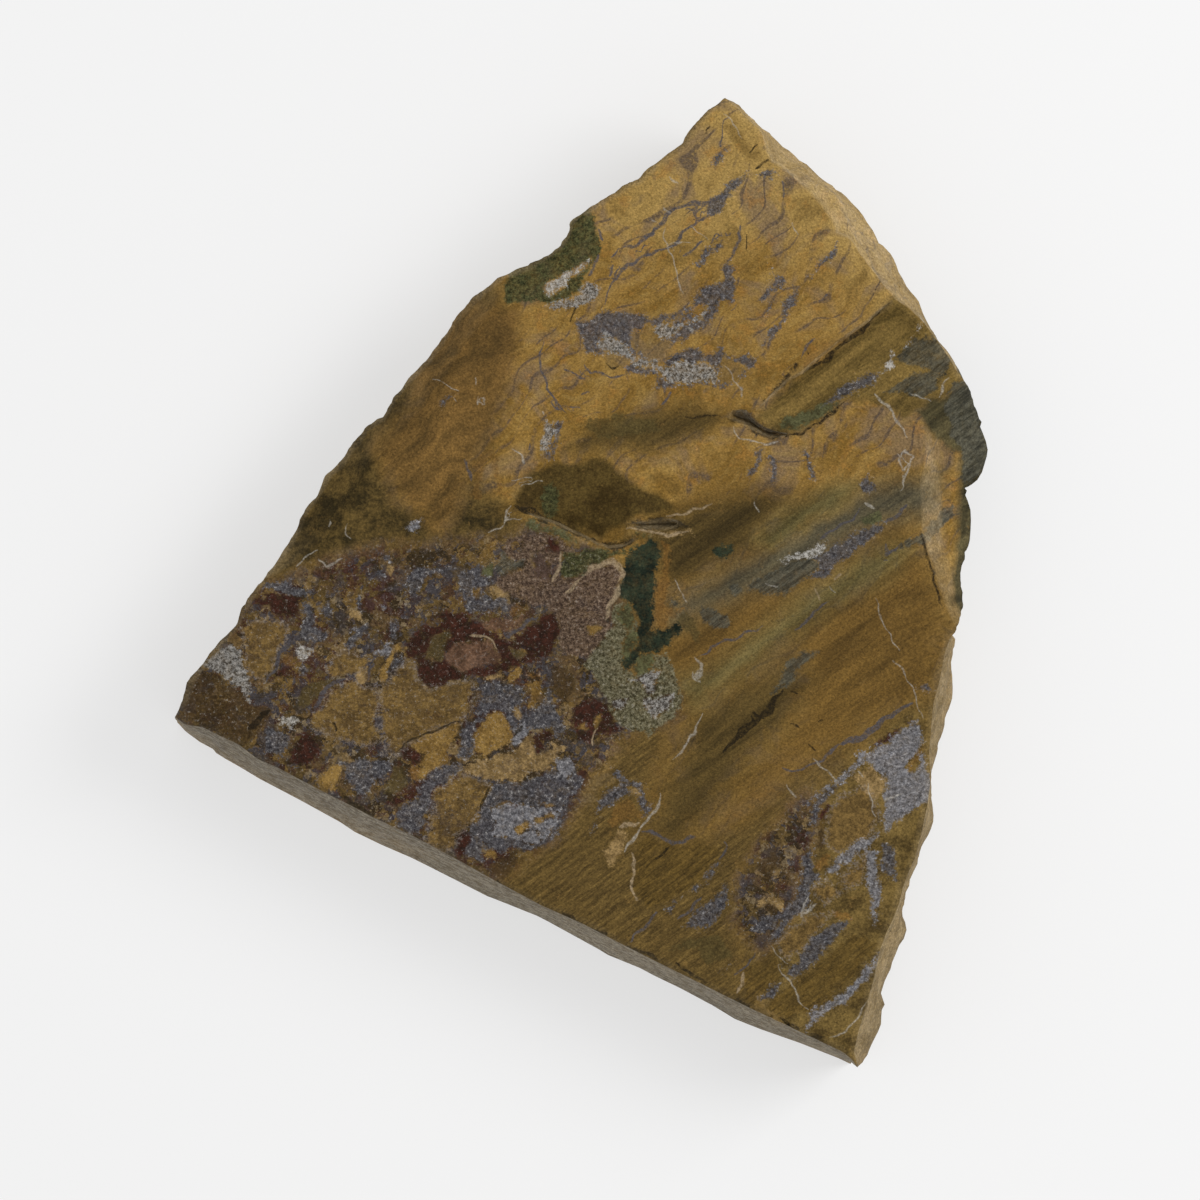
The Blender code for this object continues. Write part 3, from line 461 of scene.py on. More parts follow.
patch("speckle", (1.6, 23.6), (2.1, 24.7), (2.9, 23.9), (4.1, 23.6), (4.6, 23), (5.2, 22.4), (6.8, 22.4),
      (8.4, 21.6), (10, 21.8), (12.4, 21.9), (13.3, 21.2), (13.8, 20.4), (13.5, 19.8), (12.2, 20.2),
      (10.2, 19.7), (8.6, 19.9), (8, 20.7), (6.6, 21.6), (5.5, 21.5), (4.2, 22.8), (2.6, 22.8))
patch("speckle", (7.2, 25.1), (8.2, 26), (8.8, 25.8), (9.4, 25.4), (10.6, 26.3), (11.8, 26.9), (12.5, 28),
      (12.2, 26.9), (11.2, 26), (10.2, 25.7), (9.2, 24.6), (8.6, 24.2), (7.3, 24.4))
patch("umber", (2.2, 23), (4.6, 22.4), (4.6, 21.8), (3.8, 21.3), (2.8, 21.4), (2.1, 22))
patch("slate", (12.2, 37.6), (13, 38.4), (15, 40), (16.3, 41), (16.4, 40.4), (15.2, 39), (14.4, 38.4),
      (13.8, 37.4), (13.2, 36.8), (12.6, 36.5))
patch("slate", (12.8, 41.7), (13, 42.4), (14.2, 43.8), (14.5, 43.7), (13.7, 42.5), (12.9, 41.4))
patch("slate", (17.6, 40.6), (18.2, 41.2), (19.4, 41), (18.8, 40.4))
patch("slate", (11.2, 31.5), (12.2, 33), (12.9, 33.6), (12.7, 32.6), (12.2, 31.8), (11.4, 31.4))
patch("slate", (13, 32.6), (13.6, 34), (14, 34.2), (13.9, 33.4), (13.6, 32.8))
patch("slate", (19, 31.6), (19.3, 30.8), (20, 30.3), (19.9, 29.8), (18.7, 28.6), (18.2, 28.1), (17.5, 28.3),
      (18.8, 29.3), (19.1, 30))
patch("slate", (18.2, 26.8), (18.6, 27.4), (19.2, 27.9), (18.6, 26.9))
patch("slate", (21, 29.7), (21.6, 29.6), (21.3, 28.6), (21.4, 27.8), (20.4, 26.2), (19.3, 24.7),
      (18, 23.5), (17.1, 22.6), (18.2, 24.4), (19.8, 26.3), (20.3, 28), (20.7, 28.8))
patch("slate", (25.6, 34.4), (25.5, 33.2), (24.6, 32), (23, 30.6), (22.6, 30), (23.4, 31.4), (24.9, 33.2))
# Painted shade: the dark inside the deep slit beside the ledge.
patch("painted_shade", (17.2, 17.6), (18.3, 18.7), (19.8, 20.4), (21.7, 22.3), (21.6, 21.6), (20.3, 20), (18.8, 18.6))
patch("slate", (7.2, 20), (7.8, 19.8), (8, 19.2), (7.4, 19))
patch("moss", (1, 16.7), (2.8, 16.7), (6.8, 16.2), (7.4, 15.4), (6.4, 14.8), (4.4, 14.6), (2, 14.4),
      (.4, 15.4))
# Painted shade: the dark of the pit and of the crevice that runs from it along the ledge's lower lip.
patch("painted_shade", (14.2, 16.5), (15, 17.2), (16.3, 17.1), (17, 16.4), (17.2, 15.8), (18.4, 15.2), (20.3, 14.9),
      (18.6, 14.5), (17, 15.2), (15.4, 16))
patch("slate", (17.1, 12.8), (18.3, 13.6), (18.6, 13.4), (17.8, 12.2), (17.4, 11), (16.6, 9.9), (16.4, 10.4),
      (17.2, 11.8))
patch("slate", (18.6, 12.9), (19.2, 12.6), (19.6, 11.6), (19.2, 10.2), (18.7, 9.8), (18.8, 11.2))
patch("slate", (21.8, 13.2), (22.2, 11.4), (23, 10), (23.2, 10.4), (22.6, 12), (22.2, 13.4))
patch("sage", (19.8, 15.6), (21, 15.4), (24, 16.6), (26, 17.6), (25.4, 18.2), (23, 17.6), (20.4, 16.6))
patch("slate", (23.8, 17.4), (25.4, 17.9), (27.8, 19.2), (29.6, 20.4), (29.6, 21.4), (27.8, 20.5),
      (25.4, 18.9))
patch("graphite", (31.4, 22.3), (33, 24.2), (34, 24), (34.8, 24.6), (36.4, 23), (36.8, 22), (36.2, 20.8),
      (35, 19), (34, 18.2), (32, 18.8), (30.2, 19.3), (32, 20), (34.6, 20.8), (33, 21.4))
patch("white", (30.2, 20.9), (30.4, 22.4), (30.8, 23), (31.3, 22.9), (31, 22.2), (31.6, 21.6), (30.6, 21.3))
patch("white", (33.6, 25), (33.6, 25.6), (33.9, 26), (34.2, 25.6), (33.7, 24.7))
patch("white", (32.2, 23.4), (33.1, 24.4), (32.6, 23.6))
# Rust brown along the ledge's upper lip: partly the stone's own colour, partly painted shade where the face
# curls down to the trough.
patch("rust", (22.4, 23.8), (23.5, 24.2), (24.6, 24.2), (26.4, 24.8), (29, 26.5), (28.2, 25.6),
      (26.4, 24.2), (24.4, 22.6), (22.6, 21.2), (21.8, 21.2))
patch("slate", (27.9, 9.6), (28.6, 10.9), (29.3, 9.3), (28.6, 9))
patch("graphite", (37, 20), (38.4, 20), (39.2, 18), (40.4, 15), (41.4, 12), (39.6, 9), (38.2, 9.6),
      (37.8, 13), (36.8, 15), (36.2, 17.8))

# The middle of the face. Two fractures met here and left a hollow, and round it lie a tongue of
# pink breccia with a cream rim, a dark green pool and rims of slate and orange. Painted shade fills
# the slot and the crevice under the hollow's step, and a painted highlight lies on the slot's lit
# lower rim.
patch("breccia", (-7.4, 4.4), (-5, 4.8), (-2.4, 4.4), (-.6, 3.6), (0, .6), (.8, 1.3), (2.8, 2.1), (4.1, 1.1),
      (4.1, .6), (3, -1.5), (2, -3.8), (2.7, -5), (3, -7), (.6, -7.6), (-2, -7), (-2.6, -4), (-3.4, -2.4),
      (-5, -2.6), (-7, -1.6), (-8.6, .2), (-8, 2.6))
patch("mauve", (-6.8, 4), (-5.9, 3.8), (-6.3, 3.1), (-6.9, 3.3))
patch("oxblood", (-3.3, 4.3), (-2.2, 3.8), (-2.1, 2.9), (-3.6, 3.2))
patch("mauve", (-5.2, 2.4), (-4.4, 2.9), (-2.8, 1.6), (-3.4, .1), (-5, .6))
patch("graphite", (-9, 1), (-8.1, 2.8), (-6.8, 1.9), (-5.8, 2.2), (-5.6, 1.6), (-7, .8), (-8.6, .6))
patch("sage", (-10, 1), (-9, 2), (-8.6, 1.6), (-8.7, .8), (-9.3, .3))
patch("ochre", (-10.8, 2), (-9.6, 3.6), (-8.5, 3.8), (-9.8, 2.6), (-11, 1.5))
patch("dusty", (1.4, -6.2), (2.6, -4.6), (3.2, -2.2), (4.6, -2), (5.4, -4.6), (5, -7.4), (7.4, -7.4),
      (8.8, -7), (9.3, -9), (9.5, -12.6), (8.2, -14), (6.4, -15.4), (4, -14.7), (2.4, -12.8),
      (1.6, -10.4), (.4, -8.6))
patch("green", (-2.3, .7), (-2.4, 1.8), (-1.6, 3), (0, 3.4), (2, 3.4), (3.4, 4), (5.6, 4.9), (7, 4.8),
      (4.4, 3), (2.4, 2.4), (1, 1.7), (0, .8), (-1.2, .5))
patch("pool", (4.1, .3), (4.2, 1.6), (4.2, 3), (5.6, 3.7), (7, 4.2), (7.7, 3.4), (7.9, 2.2), (6.9, 1.2),
      (7.3, -.6), (7, -3), (6.9, -4.7), (8.3, -5.3), (9.3, -4.2), (10, -4), (9.9, -5.2), (8.9, -6.4),
      (7.5, -7.2), (5.7, -7.3), (5, -8.6), (4.2, -8.2), (4.8, -6), (5.5, -4), (5.1, -2.4), (4.2, -1.6),
      (3.2, -1.4), (3.5, -.4))
patch("sage", (3.6, -2.6), (4.4, -2), (5.2, -3.4), (5, -4.2), (4.4, -4.9), (3.4, -3.8))
patch("sage", (4.2, -5.4), (5.2, -5), (5.4, -6), (4.8, -7.4), (4, -6.8))
patch("sage", (5, -8.6), (5.8, -7.4), (6.8, -7.2), (7.4, -8), (6.6, -9), (5.4, -9.2))
patch("ochre", (.3, -3.8), (1.2, -3.9), (2, -4.4), (1, -5), (.4, -4.8))
patch("amber", (7.8, 4), (8.6, 4), (8.6, 2), (8.6, 0), (8.2, -2.5), (10, -2.5), (10.6, -3), (8.8, -3.8),
      (8.4, -4.8), (7.6, -5), (7.1, -4), (7.3, -2.5), (7.3, 0), (8, 2))
patch("graphite", (8.8, -1.6), (9.5, -1.7), (9.8, -2.2), (8.7, -2.4))
patch("graphite", (11.4, -2.6), (12.6, -2.6), (14.6, -4), (14.4, -4.8), (12.6, -4.3), (11.8, -3.6))
patch("moss", (10, -2.8), (11.3, -4), (11.8, -5), (11, -6), (10.4, -5), (9.3, -3.6))
patch("speckle", (4.4, -9.4), (6, -9.6), (7, -9), (8, -8.8), (7.4, -9.8), (6.9, -11), (6.2, -11), (6, -10))
patch("speckle", (6.2, -11.6), (7.8, -11.4), (9, -11.4), (8.6, -12.4), (7, -13.6), (6.4, -12.8))
patch("speckle", (2.8, -12), (4.6, -11.6), (4.2, -12.6), (3.2, -12.8))
# Painted shade: the dark inside the slot, on its shaded upper wall.
patch("painted_shade", (4.3, 5.8), (6.4, 6.2), (7.8, 6.5), (9.2, 6.1), (10.9, 5.7), (9.2, 5.4), (7.2, 5.3),
      (5.8, 5.4))
# Painted highlight: the pale, lit lower rim of the slot, laid as tan.
patch("tan", (4, 5.4), (5.6, 5.3), (7, 5), (8.6, 5.1), (10.9, 5.4), (11, 5), (9.6, 4.8), (8, 4.6), (6.4, 4.6),
      (5.4, 4.9))
# Painted shade: the crevice under the step at the hollow's lower edge, towards the slot.
patch("painted_shade", (-1.6, 5.3), (0, 4.7), (1.6, 4.1), (3.4, 4), (4.8, 4.3), (5.8, 4.7), (5.4, 4.1), (4, 3.7),
      (2.4, 3.3), (1, 3.9), (-.6, 4.6))
patch("green", (-4, 9.5), (-3.2, 9.8), (-2.4, 9), (-2.4, 7), (-3.2, 6.4), (-4.2, 6.8))
patch("sage", (-5.6, 6.4), (-3.4, 5.9), (-1, 5), (0, 4.5), (-1, 4.2), (-3.4, 4.7), (-5.4, 5.5))
patch("pool", (13, 3), (13.6, 3.8), (15, 3.7), (15.2, 2.8), (14, 2.4))
patch("slate", (-4.1, 15.9), (-3.2, 15.6), (-2.2, 15.7), (-2.8, 13.2), (-3, 12.1), (-3.9, 12.6), (-3.9, 14.3))
patch("speckle", (-4.1, 15.9), (-3.2, 15.5), (-3, 14.4), (-3.4, 13), (-4.1, 12.8), (-3.9, 14.3))
patch("rust", (-11.3, 8.3), (-10.9, 12), (-9.5, 13.8), (-8.4, 12.5), (-7.9, 10), (-8, 8.2), (-8.6, 8.4),
      (-8.7, 11), (-9.4, 12.4), (-10.2, 11), (-10.4, 8.4))
patch("slate", (-14.4, 17.8), (-13.5, 18.5), (-13.2, 18.3), (-14.5, 17.5))

# The right of the face. A fan of rust fibre spreads from the middle, cut by a grey olive tongue
# and by slate lines, and the lower right corner is broken into plates again.
patch("olive", (28.6, -1), (26, -1.4), (24, -3), (22, -4.5), (20, -5.9), (18.2, -7.2), (17.4, -8.6),
      (16.8, -9.8), (18, -9.9), (19.2, -8.6), (21.8, -6.9), (24.6, -5), (27.4, -2))
patch("graphite", (20.3, -8.3), (21.8, -7.1), (23.6, -6.8), (22, -8.4), (20.6, -10), (18.8, -11), (19.4, -10))
patch("graphite", (16.5, -.5), (17.5, .2), (20, 1.2), (22.8, 2.5), (23.6, 1.8), (23.4, .8), (22, 0),
      (20.5, -1.6), (18.5, -1.3), (16.6, -1.2))
patch("graphite", (14.6, -.6), (15.6, -.2), (16.8, -.6), (15.4, -1.3))
patch("slate", (22.8, 2.6), (24.4, 3.6), (26, 4), (28, 5.2), (30.5, 5.9), (29, 4.5), (27.2, 3.4),
      (25.2, 1.7), (24, .4), (23, .5), (23.8, 1.5))
patch("white", (20.1, 1.5), (20.9, 2.1), (23, 2.8), (24, 3.3), (24.8, 4.2), (23, 3.4), (21.2, 2.8), (20, 1.9))
patch("sage", (27.6, 6.2), (28.6, 6.8), (29.6, 7), (30, 6.2), (28.2, 5.5))
patch("graphite", (30.2, 2.7), (32.6, 4.1), (35, 6), (37.5, 7.4), (37.4, 5.8), (35, 4.4), (32.4, 3.2))
patch("umber", (3.2, -19.8), (2.4, -19.3), (1.2, -19.6), (-.3, -20.9), (.6, -22.5), (1.8, -21))
patch("slate", (2.4, -18.7), (4.3, -19.4), (6, -20), (6.8, -22.5), (6.3, -23.6), (5.4, -21.3), (4.2, -21.2),
      (3, -22), (1, -23.2), (1.6, -21.6), (3.8, -19.8))
patch("tan", (4.6, -20.3), (5.6, -20.6), (6, -21.4), (4.8, -21.2))
patch("slate", (.1, -25.2), (1.5, -23.8), (.8, -25))
patch("rust", (3.2, -22.3), (4.6, -21.4), (6, -23.5), (4.5, -24), (2.6, -24.7), (2.5, -23.2))
patch("tan", (3, -25.2), (4.5, -25), (4, -26.3), (2.8, -28.5), (2.2, -27.4))
patch("fibre", (5.2, -26), (6.5, -25.4), (9, -26.3), (12, -25.6), (13.8, -26.5), (13.6, -28), (10.8, -30.6),
      (9, -32), (6.2, -32.7), (5, -30.5), (4.9, -27.5))
patch("slate", (13.9, -28.1), (12.6, -28.9), (12.1, -29.6), (13, -29.4))
patch("slate", (12.3, -30), (10.6, -31), (11.3, -31.1))
patch("slate", (9.8, -31.9), (8, -32.6), (8.6, -32.9))
patch("slate", (14.2, -30.2), (12.9, -32), (11.2, -33), (10.3, -34.3), (12, -34.5), (13.6, -33.5),
      (14.6, -30.6))
patch("moss", (10, -35.5), (13.5, -35), (14.5, -37.3), (12.6, -38.3), (11.6, -36.5), (8.5, -36.5))
patch("brown", (18.2, -28), (19.2, -26.5), (20, -28), (19, -29.3), (18.7, -30.4), (17, -28.6))
patch("tan", (19.1, -29.4), (19.9, -28.6), (19.6, -29.7))
patch("tan", (17.6, -31.8), (19.8, -31.5), (20, -32.9), (19.2, -32.8), (17.8, -32.6))
patch("brown", (18.4, -32.1), (19.2, -32.9), (18.6, -33.2), (18, -32.8))
patch("slate", (17.6, -33.5), (19.6, -33.8), (18.4, -35.2), (17, -35.2))
patch("slate", (23.5, -26), (22.2, -27.5), (21.6, -30.4), (20, -33.2), (20.1, -34), (18.6, -36.2),
      (19.9, -35.8), (20.9, -33.6), (22.8, -32), (22.7, -30.3), (24, -29.4), (22.9, -28.8))
patch("amber", (23, -28.5), (25.2, -26.3), (24, -29))
patch("plate", (23, -30.3), (24.6, -29.8), (25.8, -30.8), (24, -31.9))
patch("plate", (20.8, -35), (22.2, -33.6), (21.6, -33), (24.9, -32.9), (23.5, -34.2), (22.2, -36.8),
      (20.4, -37.7), (19.5, -36.4))
patch("fibre", (16.3, -38.8), (18.7, -36.9), (20.5, -39.5), (18.4, -40.6), (16.6, -42.4), (16.2, -40.5))
patch("fibre", (20.2, -40.6), (22, -39.5), (24, -37.4), (27, -35.4), (29.6, -36.5), (26, -40),
      (24.5, -42.2), (22, -43.3), (19.5, -43.7), (18.3, -42.6))
patch("slate", (26.8, -33.6), (24.3, -34.6), (23, -35.6), (21.6, -38), (20.4, -39.3), (21.2, -40.1),
      (23.2, -37.9), (25.3, -35.6))
patch("slate", (19.9, -40.1), (18.6, -40.6), (17.6, -42), (19, -41.7))
patch("slate", (13.8, -39), (14.2, -38.2), (14.8, -37.9))
patch("tan", (16.5, -38), (17.6, -37), (16.8, -38.3))
patch("lavender", (29.8, -37), (28, -39), (24.6, -41.9), (22.8, -43.4), (22.3, -45), (24.7, -43),
      (27.5, -40.4), (29.5, -38.3))
patch("plate", (25.2, -21.6), (28.5, -20.5), (29.8, -23), (28.3, -25.5), (26, -26.9), (24.3, -26))
patch("plate", (26, -29.5), (28.6, -27.1), (27.8, -30), (26.3, -30.4))
patch("lavender", (24, -29.5), (26, -27), (30, -24.5), (28.4, -26.6), (25.8, -28.8))
patch("brown", (23.6, -24.5), (24.2, -24.6), (24.2, -26.8), (23.7, -26.6))
patch("amber", (25, -32.8), (26.5, -32.6), (27, -33.8), (25.6, -33.5))
patch("lavender", (28.3, -27), (29.5, -27), (29.8, -32), (29.2, -34.5), (28.6, -31))
patch("slate", (30, -26), (31.5, -26.4), (31.2, -30), (30.2, -29.4))
patch("lavender", (22, -22.5), (23.3, -21), (25.5, -19.4), (28, -17.2), (28.4, -17.8), (26, -20),
      (23.6, -21.8))
patch("slate", (22.9, -21.5), (25, -20), (25.8, -20.2), (23.6, -21.9), (23.2, -24), (22.6, -24))
patch("oxblood", (23.8, -23.2), (24.4, -22), (25.2, -22.2), (24.3, -23.4))
patch("lavender", (27, -17), (30, -16.2), (33.5, -14), (34.8, -20), (34.6, -22), (30, -25), (30.2, -22),
      (30.5, -19.8), (29, -18.3))
patch("tan", (27, -19.5), (29, -18.3), (30.5, -19.8), (29.5, -22), (28, -20.6))
patch("oxblood", (28, -17), (29.3, -16.2), (31.5, -15), (33.3, -14), (30.6, -16.2))
patch("ochre", (32.3, -18.5), (34.3, -15.2), (34.2, -16.5), (33, -18.5))
patch("slate", (34.5, -10), (33.3, -10.6), (35.2, -10.9))

# The veins and hairlines. Most are the last cracks in the rock, healed with white quartz, slate
# blue quartz or left as dark lines, and each thins out towards its ends. A few dark lines are painted
# shade, in the crevice under the hollow's step, along the ledge and along the trough's lower lip, and
# one white and one cream line are painted highlights on the lit rims below the pit and the slot.
VEIN_REACH = 1.2
VEIN_TAPER = 0.22  # the share of a vein's length over which each end thins out
TAPER_BEND = 0.6
NO_VEIN = -0.4  # the width that stands for no vein
veins = {}


def vein(kind, half_width, *line):
    """Draws a vein of one kind along a line. Its points hold the side, the nearness and the width."""
    some = near(list(line), VEIN_REACH)
    distance, side, along = across(grid[some], list(line))
    blank = {"side": VEIN_REACH, "off": VEIN_REACH, "width": NO_VEIN}
    field = veins.setdefault(kind, {part: np.full(len(grid), value) for part, value in blank.items()})
    thick = half_width * np.clip(np.minimum(along, 1 - along) / VEIN_TAPER, 0, 1) ** TAPER_BEND
    thick = np.where((along <= 0) | (along >= 1), NO_VEIN, thick)
    nearer = distance < field["off"][some]
    taken = some[nearer]
    field["side"][taken] = (distance * side)[nearer]
    field["off"][taken] = distance[nearer]
    field["width"][taken] = thick[nearer]


vein("white", .22, (7.9, -20.9), (7.5, -22), (6.5, -23.9), (5.3, -25.2), (4.3, -26.5), (3.8, -27.1))
vein("white", .16, (8.9, -17.8), (9.6, -16.9), (10.4, -15.6), (11.2, -15), (11.9, -13.8), (12, -12.9))
vein("white", .22, (10.8, -7.5), (11.8, -8.4), (11.8, -9.4), (11.5, -9.9))
vein("white", .12, (11.1, -9), (11.1, -9.8), (11.9, -10.1))
vein("white", .08, (9.3, .5), (9.7, -.8), (10.4, -2.4))
vein("white", .09, (28.8, -1.5), (29.3, -2.3), (30.2, -4), (31.1, -6), (31.5, -6.9))
vein("white", .09, (31, -7.4), (32, -8.4), (32.3, -9.3), (33.4, -11.3), (34, -14))
vein("white", .1, (22.6, -17.6), (24, -18.8), (25.6, -20))
vein("white", .08, (20.2, -20.2), (21.4, -21.7))
vein("white", .16, (22.7, -30.9), (22.3, -31.7), (21.7, -33.5))
vein("white", .14, (23.2, -31.9), (22.5, -32.6), (21.9, -33))
vein("white", .1, (18.8, -36.7), (19.2, -37.4), (20.6, -38.3))
vein("white", .12, (19.6, -38.5), (20.9, -40.2), (22, -42.5), (22.6, -43))
vein("white", .12, (28.3, -41.9), (26.8, -44.2), (24.8, -45.8))
vein("white", .12, (28.5, -20), (29, -22), (29.3, -24))
vein("white", .12, (27.6, -18.7), (28, -19.6))
vein("white", .12, (30, -22), (32, -21))
vein("white", .14, (-9.6, 4.8), (-8.2, 5.6), (-7.9, 6.5), (-7.5, 7.7))
vein("white", .1, (-7.9, 6), (-6.2, 6.2), (-5.7, 6.5))
vein("white", .1, (-7.1, 13.6), (-6, 12.8), (-5.5, 11.6))
vein("white", .08, (-6.9, 10.2), (-5.1, 10.5))
vein("white", .1, (-6.3, 9), (-5, 9.8), (-4, 9.8))
vein("white", .12, (-29, 1.2), (-27.8, 2.5), (-26.2, 3.4))
vein("white", .12, (-26.3, 2.3), (-25.4, 1.3), (-24, 2.1))
vein("white", .1, (-25.4, 5.5), (-25.3, 6.2))
vein("white", .1, (-23.5, 6), (-23.7, 4.6), (-23.2, 4))
vein("white", .1, (-4.1, 17.3), (-4, 16.5))
vein("white", .1, (-10.7, 20.6), (-10.5, 19.4))
vein("white", .08, (-10.4, 18.4), (-10.6, 17.5))
vein("white", .08, (-9.9, 18.5), (-10, 17.6))
vein("white", .1, (-12.9, 18.3), (-12.4, 17.7))
vein("white", .18, (29.3, 19.2), (30.2, 17.9), (31.3, 16.5), (32.2, 15.4), (32.6, 14.7))
vein("white", .09, (32.8, 18.7), (33.8, 18.3), (35, 17.9))
vein("white", .12, (36.8, 20.7), (36.2, 20), (35.8, 18.7))
vein("white", .16, (31.5, 13), (32.1, 13.5), (32.9, 12.9), (32.5, 12.2), (32.3, 11), (31.8, 9.6))
vein("white", .14, (31.5, 13), (31.5, 12), (31.9, 11), (31.7, 9))
vein("white", .3, (28.4, 8.1), (29.5, 7.4))
vein("white", .09, (17.1, 8), (17.5, 6.9))
vein("white", .08, (24.7, -.3), (25.4, -1.2))
vein("white", .08, (18, -.3), (19.8, -.8))
vein("white", .12, (-1.6, 27.9), (-1, 28.2), (-.6, 28.5))
vein("white", .12, (8.3, 35.6), (8.3, 34.2), (8.7, 32.4), (9.3, 30.6), (10, 29))
vein("white", .08, (8.2, 37.4), (9.2, 36.4))
vein("white", .08, (6.8, 36.4), (7.4, 35.6))
vein("white", .08, (8.5, 33.8), (9.4, 33.9), (10.6, 33.7))
vein("white", .07, (10.6, 35.6), (11.6, 34.8), (12.3, 34))
vein("white", .1, (14.1, 21.6), (15, 20.6), (15.6, 19.6), (16, 18.6))
vein("white", .08, (10.2, 25.8), (11, 24.7))
vein("white", .08, (10.6, 25.6), (11.4, 24.5))
# Painted highlight: the pale, lit rim of the raised lip below the pit.
vein("white", .12, (14.9, 16), (15.3, 15), (16, 14.4), (17, 14), (18.4, 13.9), (19.4, 14.3))
vein("white", .07, (-15, 20.6), (-13.6, 19.6), (-12.4, 19))
vein("white", .06, (14.2, 46.8), (15.4, 45.6), (16, 44.2))
vein("white", .07, (8.6, 40.6), (9.6, 39.6))
vein("white", .06, (21, 36), (21.6, 34.6))
vein("cream", .3, (0, .6), (.8, 1.3), (1.7, 1.9), (2.8, 2.1), (3.7, 1.7), (4.1, 1.1), (4.1, .6), (3.5, .1))
vein("cream", .25, (3.9, 0), (3, -1.5), (2.3, -3.4), (2, -3.8))
vein("cream", .2, (-1.6, -1.2), (-.5, -.2), (0, .4))
vein("cream", .16, (-1.9, 3.2), (-2.8, 1.2), (-3.2, -.1))
vein("cream", .12, (-11.2, -5.8), (-9.8, -5.4), (-8.6, -6.6))
vein("cream", .14, (3.2, -24.8), (4.2, -24.4), (6, -24))
vein("cream", .16, (4.7, -26.8), (4.8, -29), (5, -31.2), (5.4, -32.2))
# Painted highlight: the lit lower rim of the slot, laid as a cream line.
vein("cream", .14, (4, 5.4), (6, 5.2), (8.5, 4.8), (11, 5.2))
vein("cream", .12, (8.3, 6.6), (9.8, 6.8), (12, 7.3), (13, 7.8))
vein("cream", .1, (23.1, -.7), (23.7, -2))
vein("cream", .1, (25, .4), (26, 1.2))
vein("cream", .18, (16.1, -39), (16, -40.5), (15.6, -41.7))
vein("cream", .12, (1.7, -14.4), (.9, -15), (.7, -15.7), (1, -16.4))
vein("slate", .12, (19.5, -18.6), (20.6, -19.1), (22.3, -18.4), (24, -17.6), (26, -15.9))
vein("slate", .4, (24, -17.6), (25.2, -16.4), (27, -15.5), (29, -14.8), (31, -13.5), (33.4, -12))
vein("slate", .16, (-3.9, 24), (-4.4, 22), (-4, 20.6), (-2.9, 19), (-1.8, 17), (-1.6, 16.7))
vein("slate", .12, (-3.3, 18.3), (-2.4, 16.9))
vein("slate", .1, (-1.4, 18), (-.3, 17.3))
vein("slate", .1, (-.3, 19), (.9, 18.8))
vein("slate", .12, (-2, 21.5), (-.6, 20.9), (.3, 20))
vein("slate", .12, (.3, 21.6), (.7, 20.9), (2.8, 20.3), (4.5, 20.8))
vein("slate", .1, (-5.4, 13.9), (-5.5, 13))
vein("slate", .14, (-11.6, 12.5), (-11.4, 9.8))
vein("slate", .2, (-8, -5.3), (-6.6, -4.6), (-4.6, -3.4))
vein("slate", .14, (-20.9, -8.2), (-21.6, -10))
vein("slate", .28, (-24, -10), (-25.6, -10.8), (-27.3, -12.8))
vein("slate", .25, (-29, -5.6), (-30, -7.2), (-30.8, -9), (-31.8, -10.1))
vein("slate", .14, (11.4, -7.5), (13, -6.3), (15, -5.6), (18.2, -4.1))
vein("slate", .16, (24.8, -2), (22.4, -3.6), (20.9, -4.8))
vein("slate", .18, (24, 4), (25.2, 5.3), (26.6, 6.2), (27.8, 7.5))
vein("slate", .22, (30.2, 5.7), (31.5, 6.6), (32.4, 7.6))
vein("slate", .18, (30.1, 3.9), (30.2, 2.8), (32, 3.7))
vein("slate", .18, (5.6, -25), (7.5, -25.4), (9, -26.1), (11, -25.4), (12, -25.3))
vein("slate", .16, (7.5, -33), (6.6, -34.2), (4.8, -36.1))
vein("slate", .1, (13.9, -28), (14.1, -27.2), (13.9, -26))
vein("slate", .18, (12, -31.6), (10.8, -32.9), (9.3, -33.8))
vein("slate", .14, (16.9, -36.9), (16.2, -38.4), (14.9, -39.6))
vein("slate", .16, (.2, 30.4), (.8, 31.2), (1.6, 33))
vein("slate", .16, (1.9, 34), (1.8, 34.8), (1.4, 35.6))
vein("slate", .14, (2.6, 30.6), (2.9, 31.2), (3.2, 31.8))
vein("slate", .14, (2.8, 32.4), (3.3, 33), (3.9, 33.7))
vein("slate", .2, (2.2, 27.4), (2.3, 28.6), (2.6, 29.6), (3.6, 30.6), (5, 31.8), (5.6, 32.6), (7.4, 33.3),
     (9.2, 33.6), (10, 34.2), (11, 35.6), (11.5, 36.2), (12.9, 36.8), (13.5, 37.4))
vein("slate", .14, (11.5, 36.2), (11.3, 36.8), (12.2, 37.6))
vein("slate", .3, (4, 33.6), (5.6, 34), (7, 35), (8.2, 36), (9.2, 37.2), (10.8, 37.8), (12.4, 38), (14, 38.6))
vein("slate", .12, (13.5, 43.4), (13.5, 44.2), (14.2, 46), (14.8, 46.4))
vein("slate", .1, (12.6, 33.6), (12.9, 34.4), (13.3, 35.1))
vein("slate", .1, (13.8, 34.2), (13.7, 35.2))
vein("slate", .08, (14, 34.4), (14.5, 34.8), (14.8, 35.4))
vein("slate", .14, (9.8, 32.4), (11, 33), (11.9, 34))
vein("slate", .16, (15.6, 36.4), (15.4, 34.6), (15, 33), (14.7, 31.8))
vein("slate", .1, (15.3, 28), (14.6, 26.9))
vein("slate", .12, (21.7, 22.2), (22.5, 23.8), (23.3, 24.8))
vein("slate", .1, (23.7, 28), (25, 28.9))
vein("slate", .16, (9.4, 19.2), (8.2, 18), (7.7, 17.5))
vein("slate", .1, (19.8, 40.4), (20, 39.4), (19.9, 38.6))
